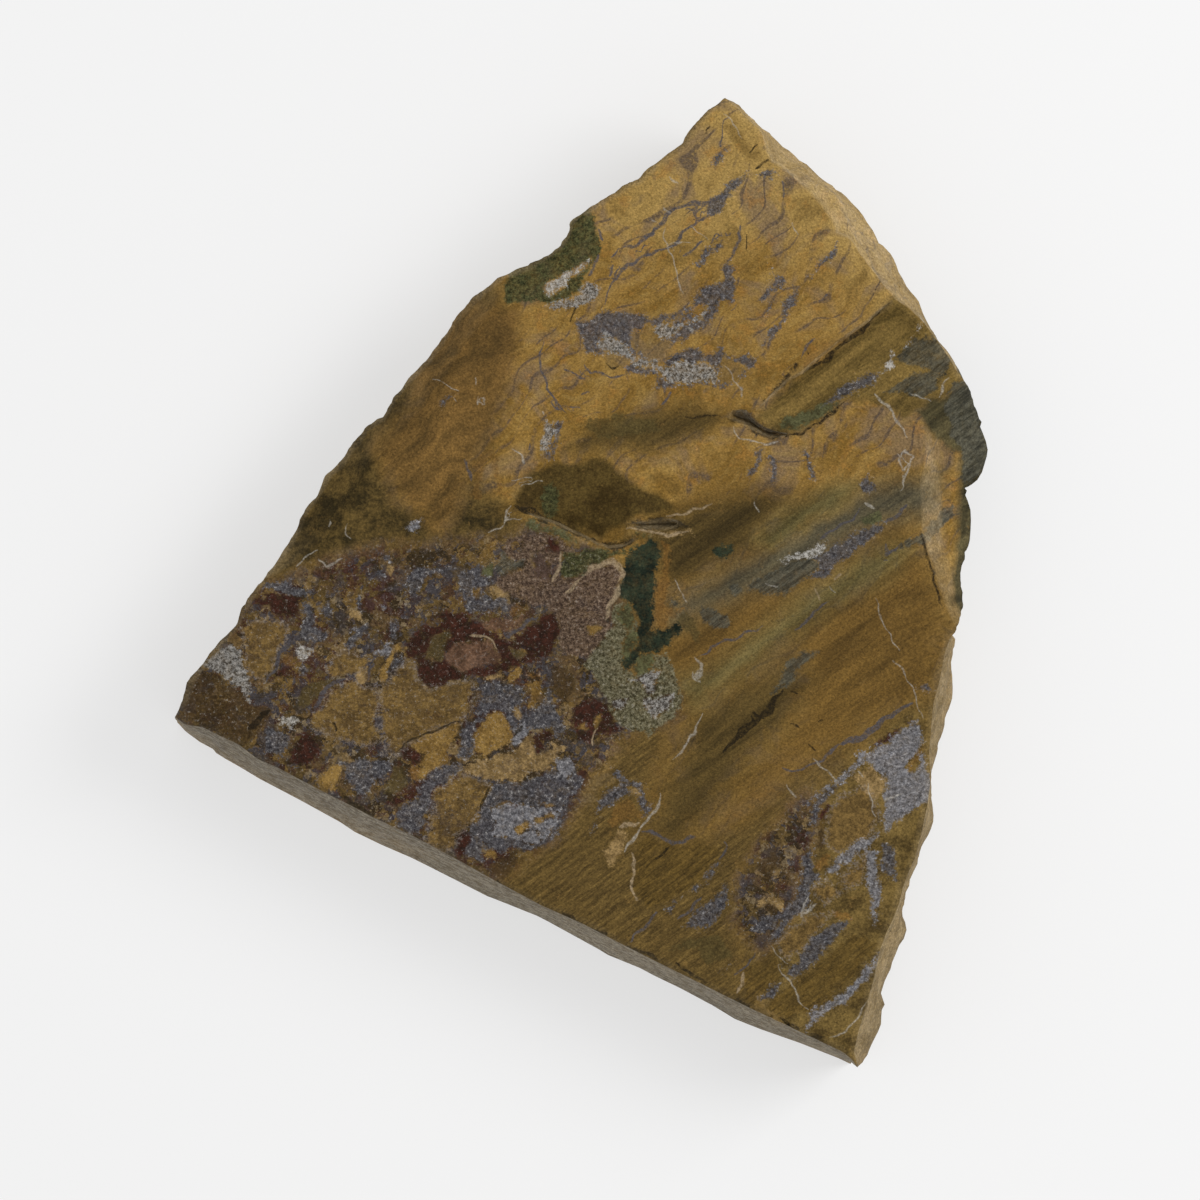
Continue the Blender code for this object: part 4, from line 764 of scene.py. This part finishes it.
vein("dark", .1, (-18.5, -17.3), (-16.5, -15.2), (-14, -14.2), (-12.1, -13.8))
vein("dark", .12, (-7.3, -15.6), (-6.2, -14.8), (-5.9, -14.3))
vein("dark", .14, (-9, -20.2), (-9.4, -21), (-10.1, -22.7))
vein("dark", .1, (-25.4, -14), (-24.9, -15.2))
vein("dark", .3, (-31.3, -12.7), (-33.5, -14.6))
# Painted shade: the dark crevice under the step along the hollow's lower edge.
vein("dark", .22, (-7.4, 7.6), (-5, 6.8), (-3.5, 6.2), (-1, 5.2), (1, 4.3))
vein("dark", .12, (16.7, -13), (18, -13.6))
vein("dark", .1, (20.2, -14.4), (21.7, -14.9))
vein("dark", .1, (22.2, -16.3), (23.3, -16.9))
vein("dark", .1, (23.2, -13.9), (24, -13.7))
vein("dark", .1, (20.7, -10.6), (21.7, -10.9))
vein("dark", .3, (14, -17), (15.5, -15.5), (17, -14), (18.5, -12.5), (20, -10.5))
vein("dark", .14, (8.6, -26.3), (7.8, -27), (7, -27.5))
# Painted shadow: the dark line along the foot of the ledge.
vein("dark", .2, (31.1, 27.9), (29.8, 27), (28.4, 25.7), (27.2, 24.8), (24.6, 22.7), (22.2, 20.6))
vein("dark", .08, (22.4, 23.2), (22.8, 22.2))
vein("dark", .1, (10, 16.5), (12, 16.8), (13.8, 16.8))
# Painted shade: the thin dark crevice along the trough's lower lip.
vein("dark", .12, (20, 14.4), (22, 15.3), (24, 16.4), (26.4, 17.9))
vein("dark", .08, (16.3, 35), (16.3, 34), (16.2, 33))
vein("dark", .08, (16.4, 42.8), (17.6, 43.6))
vein("dark", .1, (17, 41), (17.9, 41.9), (18.5, 42.2))
vein("dark", .08, (12.2, 45), (12.6, 45.8))
vein("dark", .08, (-1.6, 25.8), (-1, 26.8), (-.8, 27.6))
vein("dark", .1, (2, 22), (3, 21.4), (4, 21.8))
vein("dark", .2, (-8.8, -29.6), (-8, -30.3), (-6.4, -31.2))
vein("dark", .2, (-24.4, -21.4), (-22.6, -22.4), (-20.8, -23.8))
vein("dark", .14, (-2, -33), (-.4, -33.9))
vein("dark", .14, (.3, -34.4), (2.4, -35.3))
vein("dark", .18, (4.5, -36.3), (7.8, -38))
vein("dark", .16, (8.9, -38), (12.5, -40.2))
vein("dark", .14, (15.4, -42), (16.7, -42.6))
vein("dark", .18, (19.4, -43.6), (21.8, -44.8))
vein("dark", .22, (22.8, -45.2), (24.2, -45.7))
vein("dark", .1, (33.7, 5), (34.2, 2.5), (35.4, 0), (36.2, -2.5))


# The map that the looks are baked through. The upper face lies flat on most of it, as seen from
# above, with the sides unrolled in three strips beside it and the underside small under them.
FACE_SCALE = 0.0098  # of the map's width, for each millimetre
FACE_MIDDLE = (0.415, 0.5)
STRIP_FROM = 0.84
STRIP_WIDE = 0.05
STRIP_MARGIN = 0.06  # of a strip's width, left free below the side
STRIP_FILL = 0.86
STRIPS = 3
STRIPS_LOW = 0.2
STRIPS_HIGH = 0.98
STRIP_END = 0.01  # of a strip's length, left free at each end
UNDER_SCALE = 0.0015
UNDER_MIDDLE = (STRIP_FROM + 0.075, 0.09)
RIM_DEEP = 4.0  # faces this near the outline, in millimetres, count as side if they are steep
RIM_SLICES = 720
SIDE_RISE = 0.45  # a face whose normal rises less than this is steep
UNDER_RISE = -0.9  # and one whose normal rises less than this faces down
MAP_EDGE = 0.001

corner_of = np.empty(len(skin.loops), int)
skin.loops.foreach_get("vertex_index", corner_of)
face_of = corner_of.reshape(-1, 3)
middles = places[face_of].mean(axis=1)
first, second, third = (places[face_of[:, corner]] for corner in range(3))
normals = np.cross(second - first, third - first)
rises = normals[:, 2] / np.maximum(np.linalg.norm(normals, axis=1), 1e-12)
turns = (np.arctan2(middles[:, 1], middles[:, 0]) / (2 * np.pi)) % 1.0
slices = (turns * RIM_SLICES).astype(int)
reach = np.zeros(RIM_SLICES)
np.maximum.at(reach, slices, np.hypot(middles[:, 0], middles[:, 1]))
at_rim = np.hypot(middles[:, 0], middles[:, 1]) > reach[slices] - RIM_DEEP
beneath = (middles[:, 2] < LOW_POINTS) & (rises < UNDER_RISE)
beside = ~beneath & (rises < SIDE_RISE) & (at_rim | (rises < 0))
spots = places[corner_of]
spins = np.arctan2(spots[:, 1], spots[:, 0]) / (2 * np.pi)
spins = turns.repeat(3) + (spins - turns.repeat(3) + 0.5) % 1.0 - 0.5
strip = np.minimum((turns * STRIPS).astype(int), STRIPS - 1).repeat(3)
strip_rise = STRIP_MARGIN + STRIP_FILL * spots[:, 2] / THICKNESS
strip_run = STRIP_END + (1 - 2 * STRIP_END) * (spins * STRIPS - strip)
unrolled = np.stack([STRIP_FROM + STRIP_WIDE * (strip + strip_rise),
                     STRIPS_LOW + (STRIPS_HIGH - STRIPS_LOW) * strip_run], axis=1)
beneath_at = np.array(UNDER_MIDDLE) + spots[:, :2] * UNDER_SCALE
above_at = np.array(FACE_MIDDLE) + spots[:, :2] * FACE_SCALE
flat_map = np.where(beside.repeat(3)[:, None], unrolled, above_at)
flat_map = np.where(beneath.repeat(3)[:, None], beneath_at, flat_map)
bake_map = skin.uv_layers.new(name="OFBake")
flat_map = np.clip(flat_map, MAP_EDGE, 1 - MAP_EDGE)
bake_map.uv.foreach_set("vector", flat_map.astype(np.float32).ravel())

# What the material reads. Each of the skin's points holds a number for every ground, patch and
# vein, and for how steep and how sawn the stone is there.


def hold(name, numbers):
    """Stores one number for each of the skin's points."""
    layer = skin.attributes.new(name, "FLOAT", "POINT")
    layer.data.foreach_set("value", np.asarray(numbers, np.float32))


hold("steep", steep)
hold("sawn", sawn)
for name, share in grounds.items():
    hold("ground_" + name, share)
for name, field in patches.items():
    hold("patch_" + name, field)
for name, fields in veins.items():
    for part, field in fields.items():
        hold("vein_" + name + "_" + part, field)

# The colours of the stone. Each ground and each kind of patch has its own mottle, grain or streaks, and all
# of them are one hard stone, softly polished above and sawn or broken at the sides.
# Some patches and lines are painted shade in crevices and painted highlights on lit rims, and the sides
# get painted sheen.
from math import radians

FIBRE_TURN = 36.0  # the way the fan's fibres run, in degrees from +X
PATCH_RAGGED = 0.34  # how far noise moves a patch's edge
STONE_SHINE = 0.06
BUMP_STRENGTH = 0.6
BUMP_DEPTH = 0.1


def tint(red, green, blue):
    """A colour given as the eye reads it, from 0 to 255, as a shader's colour."""
    channels = [channel / 255 for channel in (red, green, blue)]
    linear = [c / 12.92 if c < 0.04045 else ((c + 0.055) / 1.055) ** 2.4 for c in channels]
    return (*linear, 1.0)


class Reading:
    """A number or colour that changes over the stone. Working with it adds a Math node."""

    def __init__(self, paint, socket):
        self.paint = paint
        self.socket = socket

    def work(self, operation, first, second):
        return self.paint.node("ShaderNodeMath", {"operation": operation}, {0: first, 1: second})

    def __add__(self, other):
        return self.work("ADD", self, other)

    def __sub__(self, other):
        return self.work("SUBTRACT", self, other)

    def __mul__(self, other):
        return self.work("MULTIPLY", self, other)

    def __rsub__(self, other):
        return self.work("SUBTRACT", other, self)

    __radd__ = __add__
    __rmul__ = __mul__

    def most(self, other):
        return self.work("MAXIMUM", self, other)

    def size(self):
        return self.paint.node("ShaderNodeMath", {"operation": "ABSOLUTE"}, {0: self})

    def between(self, start, end):
        """Rises smoothly from 0 at start to 1 at end."""
        return self.paint.node("ShaderNodeMapRange", {"interpolation_type": "SMOOTHSTEP"},
                               {"Value": self, "From Min": start, "From Max": end}, "Result")


class Paint:
    """The nodes of one material."""

    def __init__(self, name):
        self.material = bpy.data.materials.new(name)
        self.material.use_nodes = True
        self.tree = self.material.node_tree
        self.shader = self.tree.nodes["Principled BSDF"]

    def put(self, socket, value):
        if isinstance(value, Reading):
            self.tree.links.new(value.socket, socket)
        else:
            socket.default_value = value

    def node(self, kind, settings, inputs, output=0):
        """Adds a node, with its settings first and then the values or links of its sockets."""
        made = self.tree.nodes.new(kind)
        for name, value in settings.items():
            setattr(made, name, value)
        for name, value in inputs.items():
            self.put(made.inputs[name], value)
        return Reading(self, made.outputs[output])

    def feed(self, name, value):
        self.put(self.shader.inputs[name], value)

    def field(self, name):
        """What the skin's points hold under this name."""
        return self.node("ShaderNodeAttribute", {"attribute_name": name}, {}, "Fac")

    def mixed(self, share, under, over):
        """Two colours mixed, with share the amount of the second."""
        return self.node("ShaderNodeMix", {"data_type": "RGBA"}, {0: share, 6: under, 7: over}, 2)

    def scaled(self, colour, amount):
        """A colour made lighter or darker by a number that changes over the stone."""
        return self.node("ShaderNodeVectorMath", {"operation": "SCALE"}, {0: colour, "Scale": amount})

    def noise(self, place, scale, detail=3.0, roughness=0.55, warp=0.0):
        """Cloudy noise at a place, from 0 to 1."""
        return self.node("ShaderNodeTexNoise", {}, {"Vector": place, "Scale": scale, "Detail": detail,
                                                    "Roughness": roughness, "Distortion": warp}, 0)

    def warped(self, place, scale, reach):
        """A place moved about by noise."""
        sway = self.node("ShaderNodeTexNoise", {}, {"Vector": place, "Scale": scale, "Detail": 2.0}, "Color")
        return self.node("ShaderNodeVectorMath", {"operation": "MULTIPLY_ADD"},
                         {0: sway, 1: (reach, reach, reach), 2: place})

    def flakes(self, place, scale):
        """A number from 0 to 1 for each of many flakes that fill the stone."""
        colour = self.node("ShaderNodeTexVoronoi", {}, {"Vector": place, "Scale": scale}, "Color")
        return self.node("ShaderNodeSeparateColor", {}, {"Color": colour}, "Red")

    def choice(self, number, first, *others):
        """One of several colours, each from the number that it starts at."""
        colour = tint(*first)
        for start, other in others:
            colour = self.mixed(number.between(start - 0.02, start + 0.02), colour, tint(*other))
        return colour

    def turned(self, place, degrees, stretch):
        """A place turned about the upright axis, then stretched."""
        spun = self.node("ShaderNodeVectorRotate", {"rotation_type": "Z_AXIS"},
                         {"Vector": place, "Angle": -radians(degrees)})
        return self.node("ShaderNodeVectorMath", {"operation": "MULTIPLY"}, {0: spun, 1: stretch})


stone = Paint("stone")
raw_place = stone.node("ShaderNodeTexCoord", {}, {}, "Object")
place = stone.node("ShaderNodeVectorMath", {"operation": "SCALE"}, {0: raw_place, "Scale": 1 / MM})

cloud = stone.noise(place, 0.09, detail=1.0)
mottle = stone.noise(place, 0.4, detail=4.0, roughness=0.7)
drift = stone.noise(place, 0.17, detail=3.0, roughness=0.66, warp=0.8)
ragged = stone.noise(place, 1.1, detail=4.0, roughness=0.78)
grain = stone.noise(place, 3.2, detail=2.0, roughness=0.8)
dust = stone.noise(place, 2.4, detail=4.0, roughness=0.88)
sand = stone.noise(place, 5.0, detail=1.0, roughness=0.8)
fan_place = stone.turned(place, FIBRE_TURN, (0.14, 1.0, 0.5))
streak = stone.noise(fan_place, 0.5, detail=5.0, roughness=0.74, warp=0.6)
fine_streak = stone.noise(fan_place, 2.4, detail=3.0, roughness=0.8, warp=0.3)
swirl_place = stone.turned(stone.warped(place, 0.12, 9.0), 40.0, (0.3, 1.0, 0.6))
swirl = stone.noise(swirl_place, 0.5, detail=5.0, roughness=0.72)
flake = stone.flakes(stone.warped(place, 0.8, 2.6), 0.62)
chip = stone.flakes(stone.warped(place, 1.6, 1.3), 1.5)

# The grounds, each between a darker and a lighter colour of its own.
GROUNDS = {
    "olive": ((46, 38, 19), (94, 76, 40), mottle, 0.34, 0.68),
    "rust": ((74, 57, 29), (120, 91, 47), swirl, 0.3, 0.7),
    "earth": ((60, 47, 24), (108, 87, 46), fine_streak, 0.22, 0.78),
    "fan": ((74, 56, 26), (120, 92, 44), streak, 0.22, 0.78),
    "shade": ((52, 42, 21), (92, 74, 38), streak, 0.26, 0.74),
    "steel": ((46, 44, 36), (92, 84, 62), streak, 0.3, 0.7),
    "lichen": ((70, 62, 34), (112, 101, 62), streak, 0.3, 0.7),
    "shards": ((70, 56, 28), (112, 92, 50), mottle, 0.34, 0.66),
    "hollow": ((58, 45, 19), (84, 68, 33), mottle, 0.34, 0.68),
    "ramp": ((76, 62, 30), (120, 98, 52), streak, 0.34, 0.64),
    "corner": ((46, 42, 26), (84, 76, 50), streak, 0.34, 0.64),
}
colour = stone.mixed(swirl.between(0.34, 0.66), tint(116, 88, 38), tint(142, 112, 58))
colour = stone.mixed(stone.field("ground_sand") * 0.6, colour, tint(164, 136, 80))
colour = stone.mixed(drift.between(0.48, 0.66) * 0.75, colour, tint(114, 95, 72))
colour = stone.mixed(drift.between(0.46, 0.3) * 0.6, colour, tint(96, 74, 34))
colour = stone.mixed(mottle.between(0.54, 0.66) * 0.4, colour, tint(140, 98, 42))
flow_place = stone.turned(stone.warped(place, 0.1, 12.0), 45.0, (0.25, 1.0, 0.6))
flow_bands = {"Vector": flow_place, "Scale": 0.16, "Distortion": 8.0, "Detail": 3.0, "Detail Scale": 1.2}
flow = stone.node("ShaderNodeTexWave", {"bands_direction": "Y"}, flow_bands, "Fac")
fine_lines = flow.between(0.9, 0.99) * drift.between(0.42, 0.56) * dust.between(0.38, 0.52)
colour = stone.mixed(fine_lines * 0.75, colour, tint(72, 62, 56))
colour = stone.mixed(flow.between(0.3, 0.0) * mottle.between(0.54, 0.44) * 0.3, colour, tint(152, 126, 72))
for name, (dark, light, pattern, start, end) in GROUNDS.items():
    tone = stone.mixed(pattern.between(start, end), tint(*dark), tint(*light))
    colour = stone.mixed(stone.field("ground_" + name), colour, tone)

# The broken ground is a litter of flakes of every kind, with slate and dust between them.
broken = stone.field("ground_breccia").most(stone.field("ground_scree"))
litter = stone.choice(flake, (50, 39, 23), (0.2, (84, 67, 36)), (0.38, (104, 82, 44)), (0.5, (86, 68, 44)),
                      (0.64, (62, 58, 60)), (0.78, (54, 33, 25)), (0.86, (112, 92, 60)))
small = stone.choice(chip, (54, 43, 25), (0.3, (98, 79, 45)), (0.52, (66, 62, 64)), (0.74, (62, 42, 30)),
                     (0.9, (120, 104, 78)))
litter = stone.mixed(ragged.between(0.47, 0.53) * 0.85, litter, small)
litter = stone.mixed(mottle.between(0.52, 0.6) * 0.6, litter, tint(60, 55, 54))
litter = stone.mixed(dust.between(0.5, 0.42) * 0.3, litter, tint(44, 36, 26))
litter = stone.mixed(drift.between(0.52, 0.62) * ragged.between(0.44, 0.54) * 0.7, litter, tint(62, 35, 27))
colour = stone.mixed(broken, colour, litter)

# Golden fibre in the fan and the earth, and dark and rusty flecks everywhere.
gold = fine_streak.between(0.58, 0.75) * stone.field("ground_fan").most(stone.field("ground_earth"))
colour = stone.mixed(gold * 0.35, colour, tint(132, 106, 58))
colour = stone.mixed(ragged.between(0.6, 0.7) * 0.35, colour, tint(66, 50, 26))
colour = stone.mixed(ragged.between(0.4, 0.3) * 0.3, colour, tint(140, 108, 58))

# The patches, in the same way, each with how well it covers what it lies on.
PATCHES = {
    "ochre": ((98, 74, 34), (136, 108, 58), mottle, 0.34, 0.66, 0.9),
    "plate": ((74, 57, 31), (118, 94, 52), ragged, 0.36, 0.64, 0.85),
    "fibre": ((58, 45, 20), (102, 80, 36), fine_streak, 0.3, 0.7, 0.7),
    "tan": ((100, 80, 48), (144, 119, 78), ragged, 0.34, 0.66, 0.85),
    "pink": ((72, 52, 38), (112, 84, 64), mottle, 0.35, 0.65, 0.85),
    "breccia": ((52, 39, 31), (114, 94, 76), dust, 0.38, 0.64, 0.9),
    "mauve": ((46, 34, 30), (86, 68, 58), ragged, 0.35, 0.65, 0.9),
    "dusty": ((54, 50, 30), (112, 107, 84), dust, 0.38, 0.62, 0.9),
    "amber": ((100, 70, 31), (126, 92, 43), mottle, 0.3, 0.7, 0.6),
    "rust": ((88, 62, 28), (118, 86, 40), streak, 0.3, 0.7, 0.5),
    "umber": ((84, 68, 42), (112, 94, 64), ragged, 0.3, 0.7, 0.45),
    "oxblood": ((28, 17, 12), (66, 37, 27), ragged, 0.34, 0.7, 0.95),
    "brown": ((46, 35, 18), (72, 55, 31), mottle, 0.3, 0.7, 0.75),
    "moss": ((54, 47, 25), (84, 72, 40), ragged, 0.3, 0.7, 0.7),
    "green": ((36, 38, 20), (76, 76, 46), dust, 0.38, 0.62, 0.9),
    "pool": ((20, 27, 20), (44, 52, 38), mottle, 0.35, 0.65, 0.95),
    "sage": ((42, 46, 30), (86, 85, 56), ragged, 0.35, 0.65, 0.9),
    "slate": ((42, 40, 43), (92, 91, 94), dust, 0.36, 0.66, 0.85),
    "lavender": ((72, 71, 74), (132, 131, 134), dust, 0.34, 0.68, 0.85),
    "graphite": ((44, 44, 38), (84, 82, 70), fine_streak, 0.35, 0.65, 0.8),
    "speckle": ((58, 54, 48), (142, 139, 134), dust, 0.4, 0.6, 0.85),
    "white": ((110, 105, 96), (172, 169, 163), dust, 0.4, 0.6, 0.8),
    # painted_shade: painted shade, the dark inside the slit, the pit, the slot and the crevice under the
    # hollow's step
    "painted_shade": ((20, 17, 11), (40, 34, 24), mottle, 0.3, 0.7, 0.85),
}
edge_stray = (ragged - 0.5) * (4 * PATCH_RAGGED) + (dust - 0.5) * 1.2
for name, (dark, light, pattern, start, end, cover) in PATCHES.items():
    tone = stone.mixed(pattern.between(start, end), tint(*dark), tint(*light))
    here = (stone.field("patch_" + name) + edge_stray).between(-0.16, 0.22)
    covering = cover + 0.9 * (ragged - 0.5)
    colour = stone.mixed(here * covering, colour, tone)

# Slate clouds and pale dust lie over the broken ground and the slate.
slates = stone.field("patch_slate").most(stone.field("patch_lavender")).between(-0.8, 0.2)
colour = stone.mixed(dust.between(0.57, 0.66) * broken * 0.55, colour, tint(136, 131, 124))
colour = stone.mixed(dust.between(0.6, 0.66) * slates * 0.5, colour, tint(168, 165, 162))
rim = (0.4 - (stone.field("patch_plate") + edge_stray).size()).between(0, 0.3)
colour = stone.mixed(rim * dust.between(0.46, 0.58) * 0.4, colour, tint(126, 118, 112))

# The veins. Each shows where a point's side distance is under its half width.
VEINS = {"slate": (72, 69, 72, 0.95, 0.8), "dark": (30, 24, 14, 0.95, 1.1),
         "cream": (146, 128, 102, 0.8, 0.9), "white": (160, 155, 145, 0.6, 0.6)}
for name, (red, green, blue, cover, swell) in VEINS.items():
    width = swell * stone.field("vein_" + name + "_width") + (ragged - 0.5) * 0.24
    close = (stone.field("vein_" + name + "_off") - width).between(0.5, 0.34)
    line = (width - stone.field("vein_" + name + "_side").size()).between(-0.08, 0.07)
    colour = stone.mixed(line * close * (cover * (0.3 + 0.7 * dust.between(0.36, 0.56))), colour,
                         tint(red, green, blue))

# The broken sides are paler and hazier: partly the matt look of broken stone, partly painted sheen,
# the haze of light that the steep sides catch from the bright room. The sawn side is greyer: its own
# cut surface, with the same painted sheen.
sheen_and_matt_tone = stone.mixed(mottle.between(0.2, 0.8), tint(116, 98, 66), tint(184, 165, 130))
sheen_and_matt_share = stone.field("steep") * (1 - stone.field("ground_corner")) * (0.1 + 0.7 * ragged)
colour = stone.mixed(sheen_and_matt_share, colour, sheen_and_matt_tone)
sawn_grey_and_sheen = stone.mixed(ragged.between(0.4, 0.6), tint(88, 82, 72), tint(142, 138, 128))
colour = stone.mixed(stone.field("sawn") * 0.6, colour, sawn_grey_and_sheen)

# Fine grain and specks over the whole stone.
colour = stone.scaled(colour, 0.44 + 1.16 * grain)
colour = stone.scaled(colour, 0.66 + 0.7 * dust)
colour = stone.scaled(colour, 0.4 + 1.2 * sand)
colour = stone.scaled(colour, 0.86 + 0.28 * cloud)
stone.feed("Base Color", colour)
stone.feed("Roughness", 0.55 + 0.25 * mottle)
stone.feed("Specular IOR Level", STONE_SHINE)
stone.feed("Normal", stone.node("ShaderNodeBump", {}, {"Strength": BUMP_STRENGTH, "Distance": BUMP_DEPTH * MM,
                                                       "Height": grain + dust}))
skin.materials.append(stone.material)

# The floor. It is a plain pale sheet that the slab lies on, and it glows a little of its own, as
# a lit table does, so that the slab's shadow on it stays soft.
FLOOR_HALF = 900.0
FLOOR_GREY = 0.32
FLOOR_ROUGHNESS = 0.9
FLOOR_GLOW = 0.57

floor_mesh = bpy.data.meshes.new("floor")
corners = [(x * FLOOR_HALF * MM, y * FLOOR_HALF * MM, 0) for x, y in ((-1, -1), (1, -1), (1, 1), (-1, 1))]
floor_mesh.from_pydata(corners, [], [(0, 1, 2, 3)])
floor = bpy.data.objects.new("floor", floor_mesh)
bpy.context.scene.collection.objects.link(floor)
paper = Paint("paper")
paper.feed("Base Color", (FLOOR_GREY, FLOOR_GREY, FLOOR_GREY, 1.0))
paper.feed("Roughness", FLOOR_ROUGHNESS)
paper.feed("Specular IOR Level", 0.0)
paper.feed("Emission Color", (1.0, 1.0, 1.0, 1.0))
paper.feed("Emission Strength", FLOOR_GLOW)
floor_mesh.materials.append(paper.material)

# The camera. It looks straight down from half a metre over the face, from the spot that the marks
# are read from.
FRAME_SPAN = 120.0  # how much of the face's level fits across the picture
SENSOR = 36.0

camera_data = bpy.data.cameras.new("camera")
camera_data.sensor_width = SENSOR
camera_data.lens = SENSOR * READ_FROM / FRAME_SPAN
camera = bpy.data.objects.new("camera", camera_data)
camera.location = ((READ_OVER[0] - PLAN_MIDDLE[0]) * MM, (READ_OVER[1] - PLAN_MIDDLE[1]) * MM,
                   (THICKNESS + READ_FROM) * MM)
bpy.context.scene.collection.objects.link(camera)
bpy.context.scene.camera = camera

# The light. It is soft and comes from all round, with a little more of it from the upper right,
# where a square softbox stands.
SKY_STRENGTH = 0.72
LAMP_AT = (560.0, 200.0, 520.0)
LAMP_SIZE = 380.0
LAMP_WATTS = 3.4

world = bpy.data.worlds.new("studio")
world.use_nodes = True
sky = world.node_tree.nodes["Background"]
sky.inputs["Color"].default_value = (1, 1, 1, 1)
sky.inputs["Strength"].default_value = SKY_STRENGTH
bpy.context.scene.world = world

lamp_data = bpy.data.lights.new("softbox", "AREA")
lamp_data.size = LAMP_SIZE * MM
lamp_data.energy = LAMP_WATTS
lamp = bpy.data.objects.new("softbox", lamp_data)
lamp.location = Vector(LAMP_AT) * MM
lamp.rotation_euler = Vector(LAMP_AT).to_track_quat("Z", "Y").to_euler()
bpy.context.scene.collection.objects.link(lamp)
bpy.context.scene.view_settings.view_transform = "Standard"
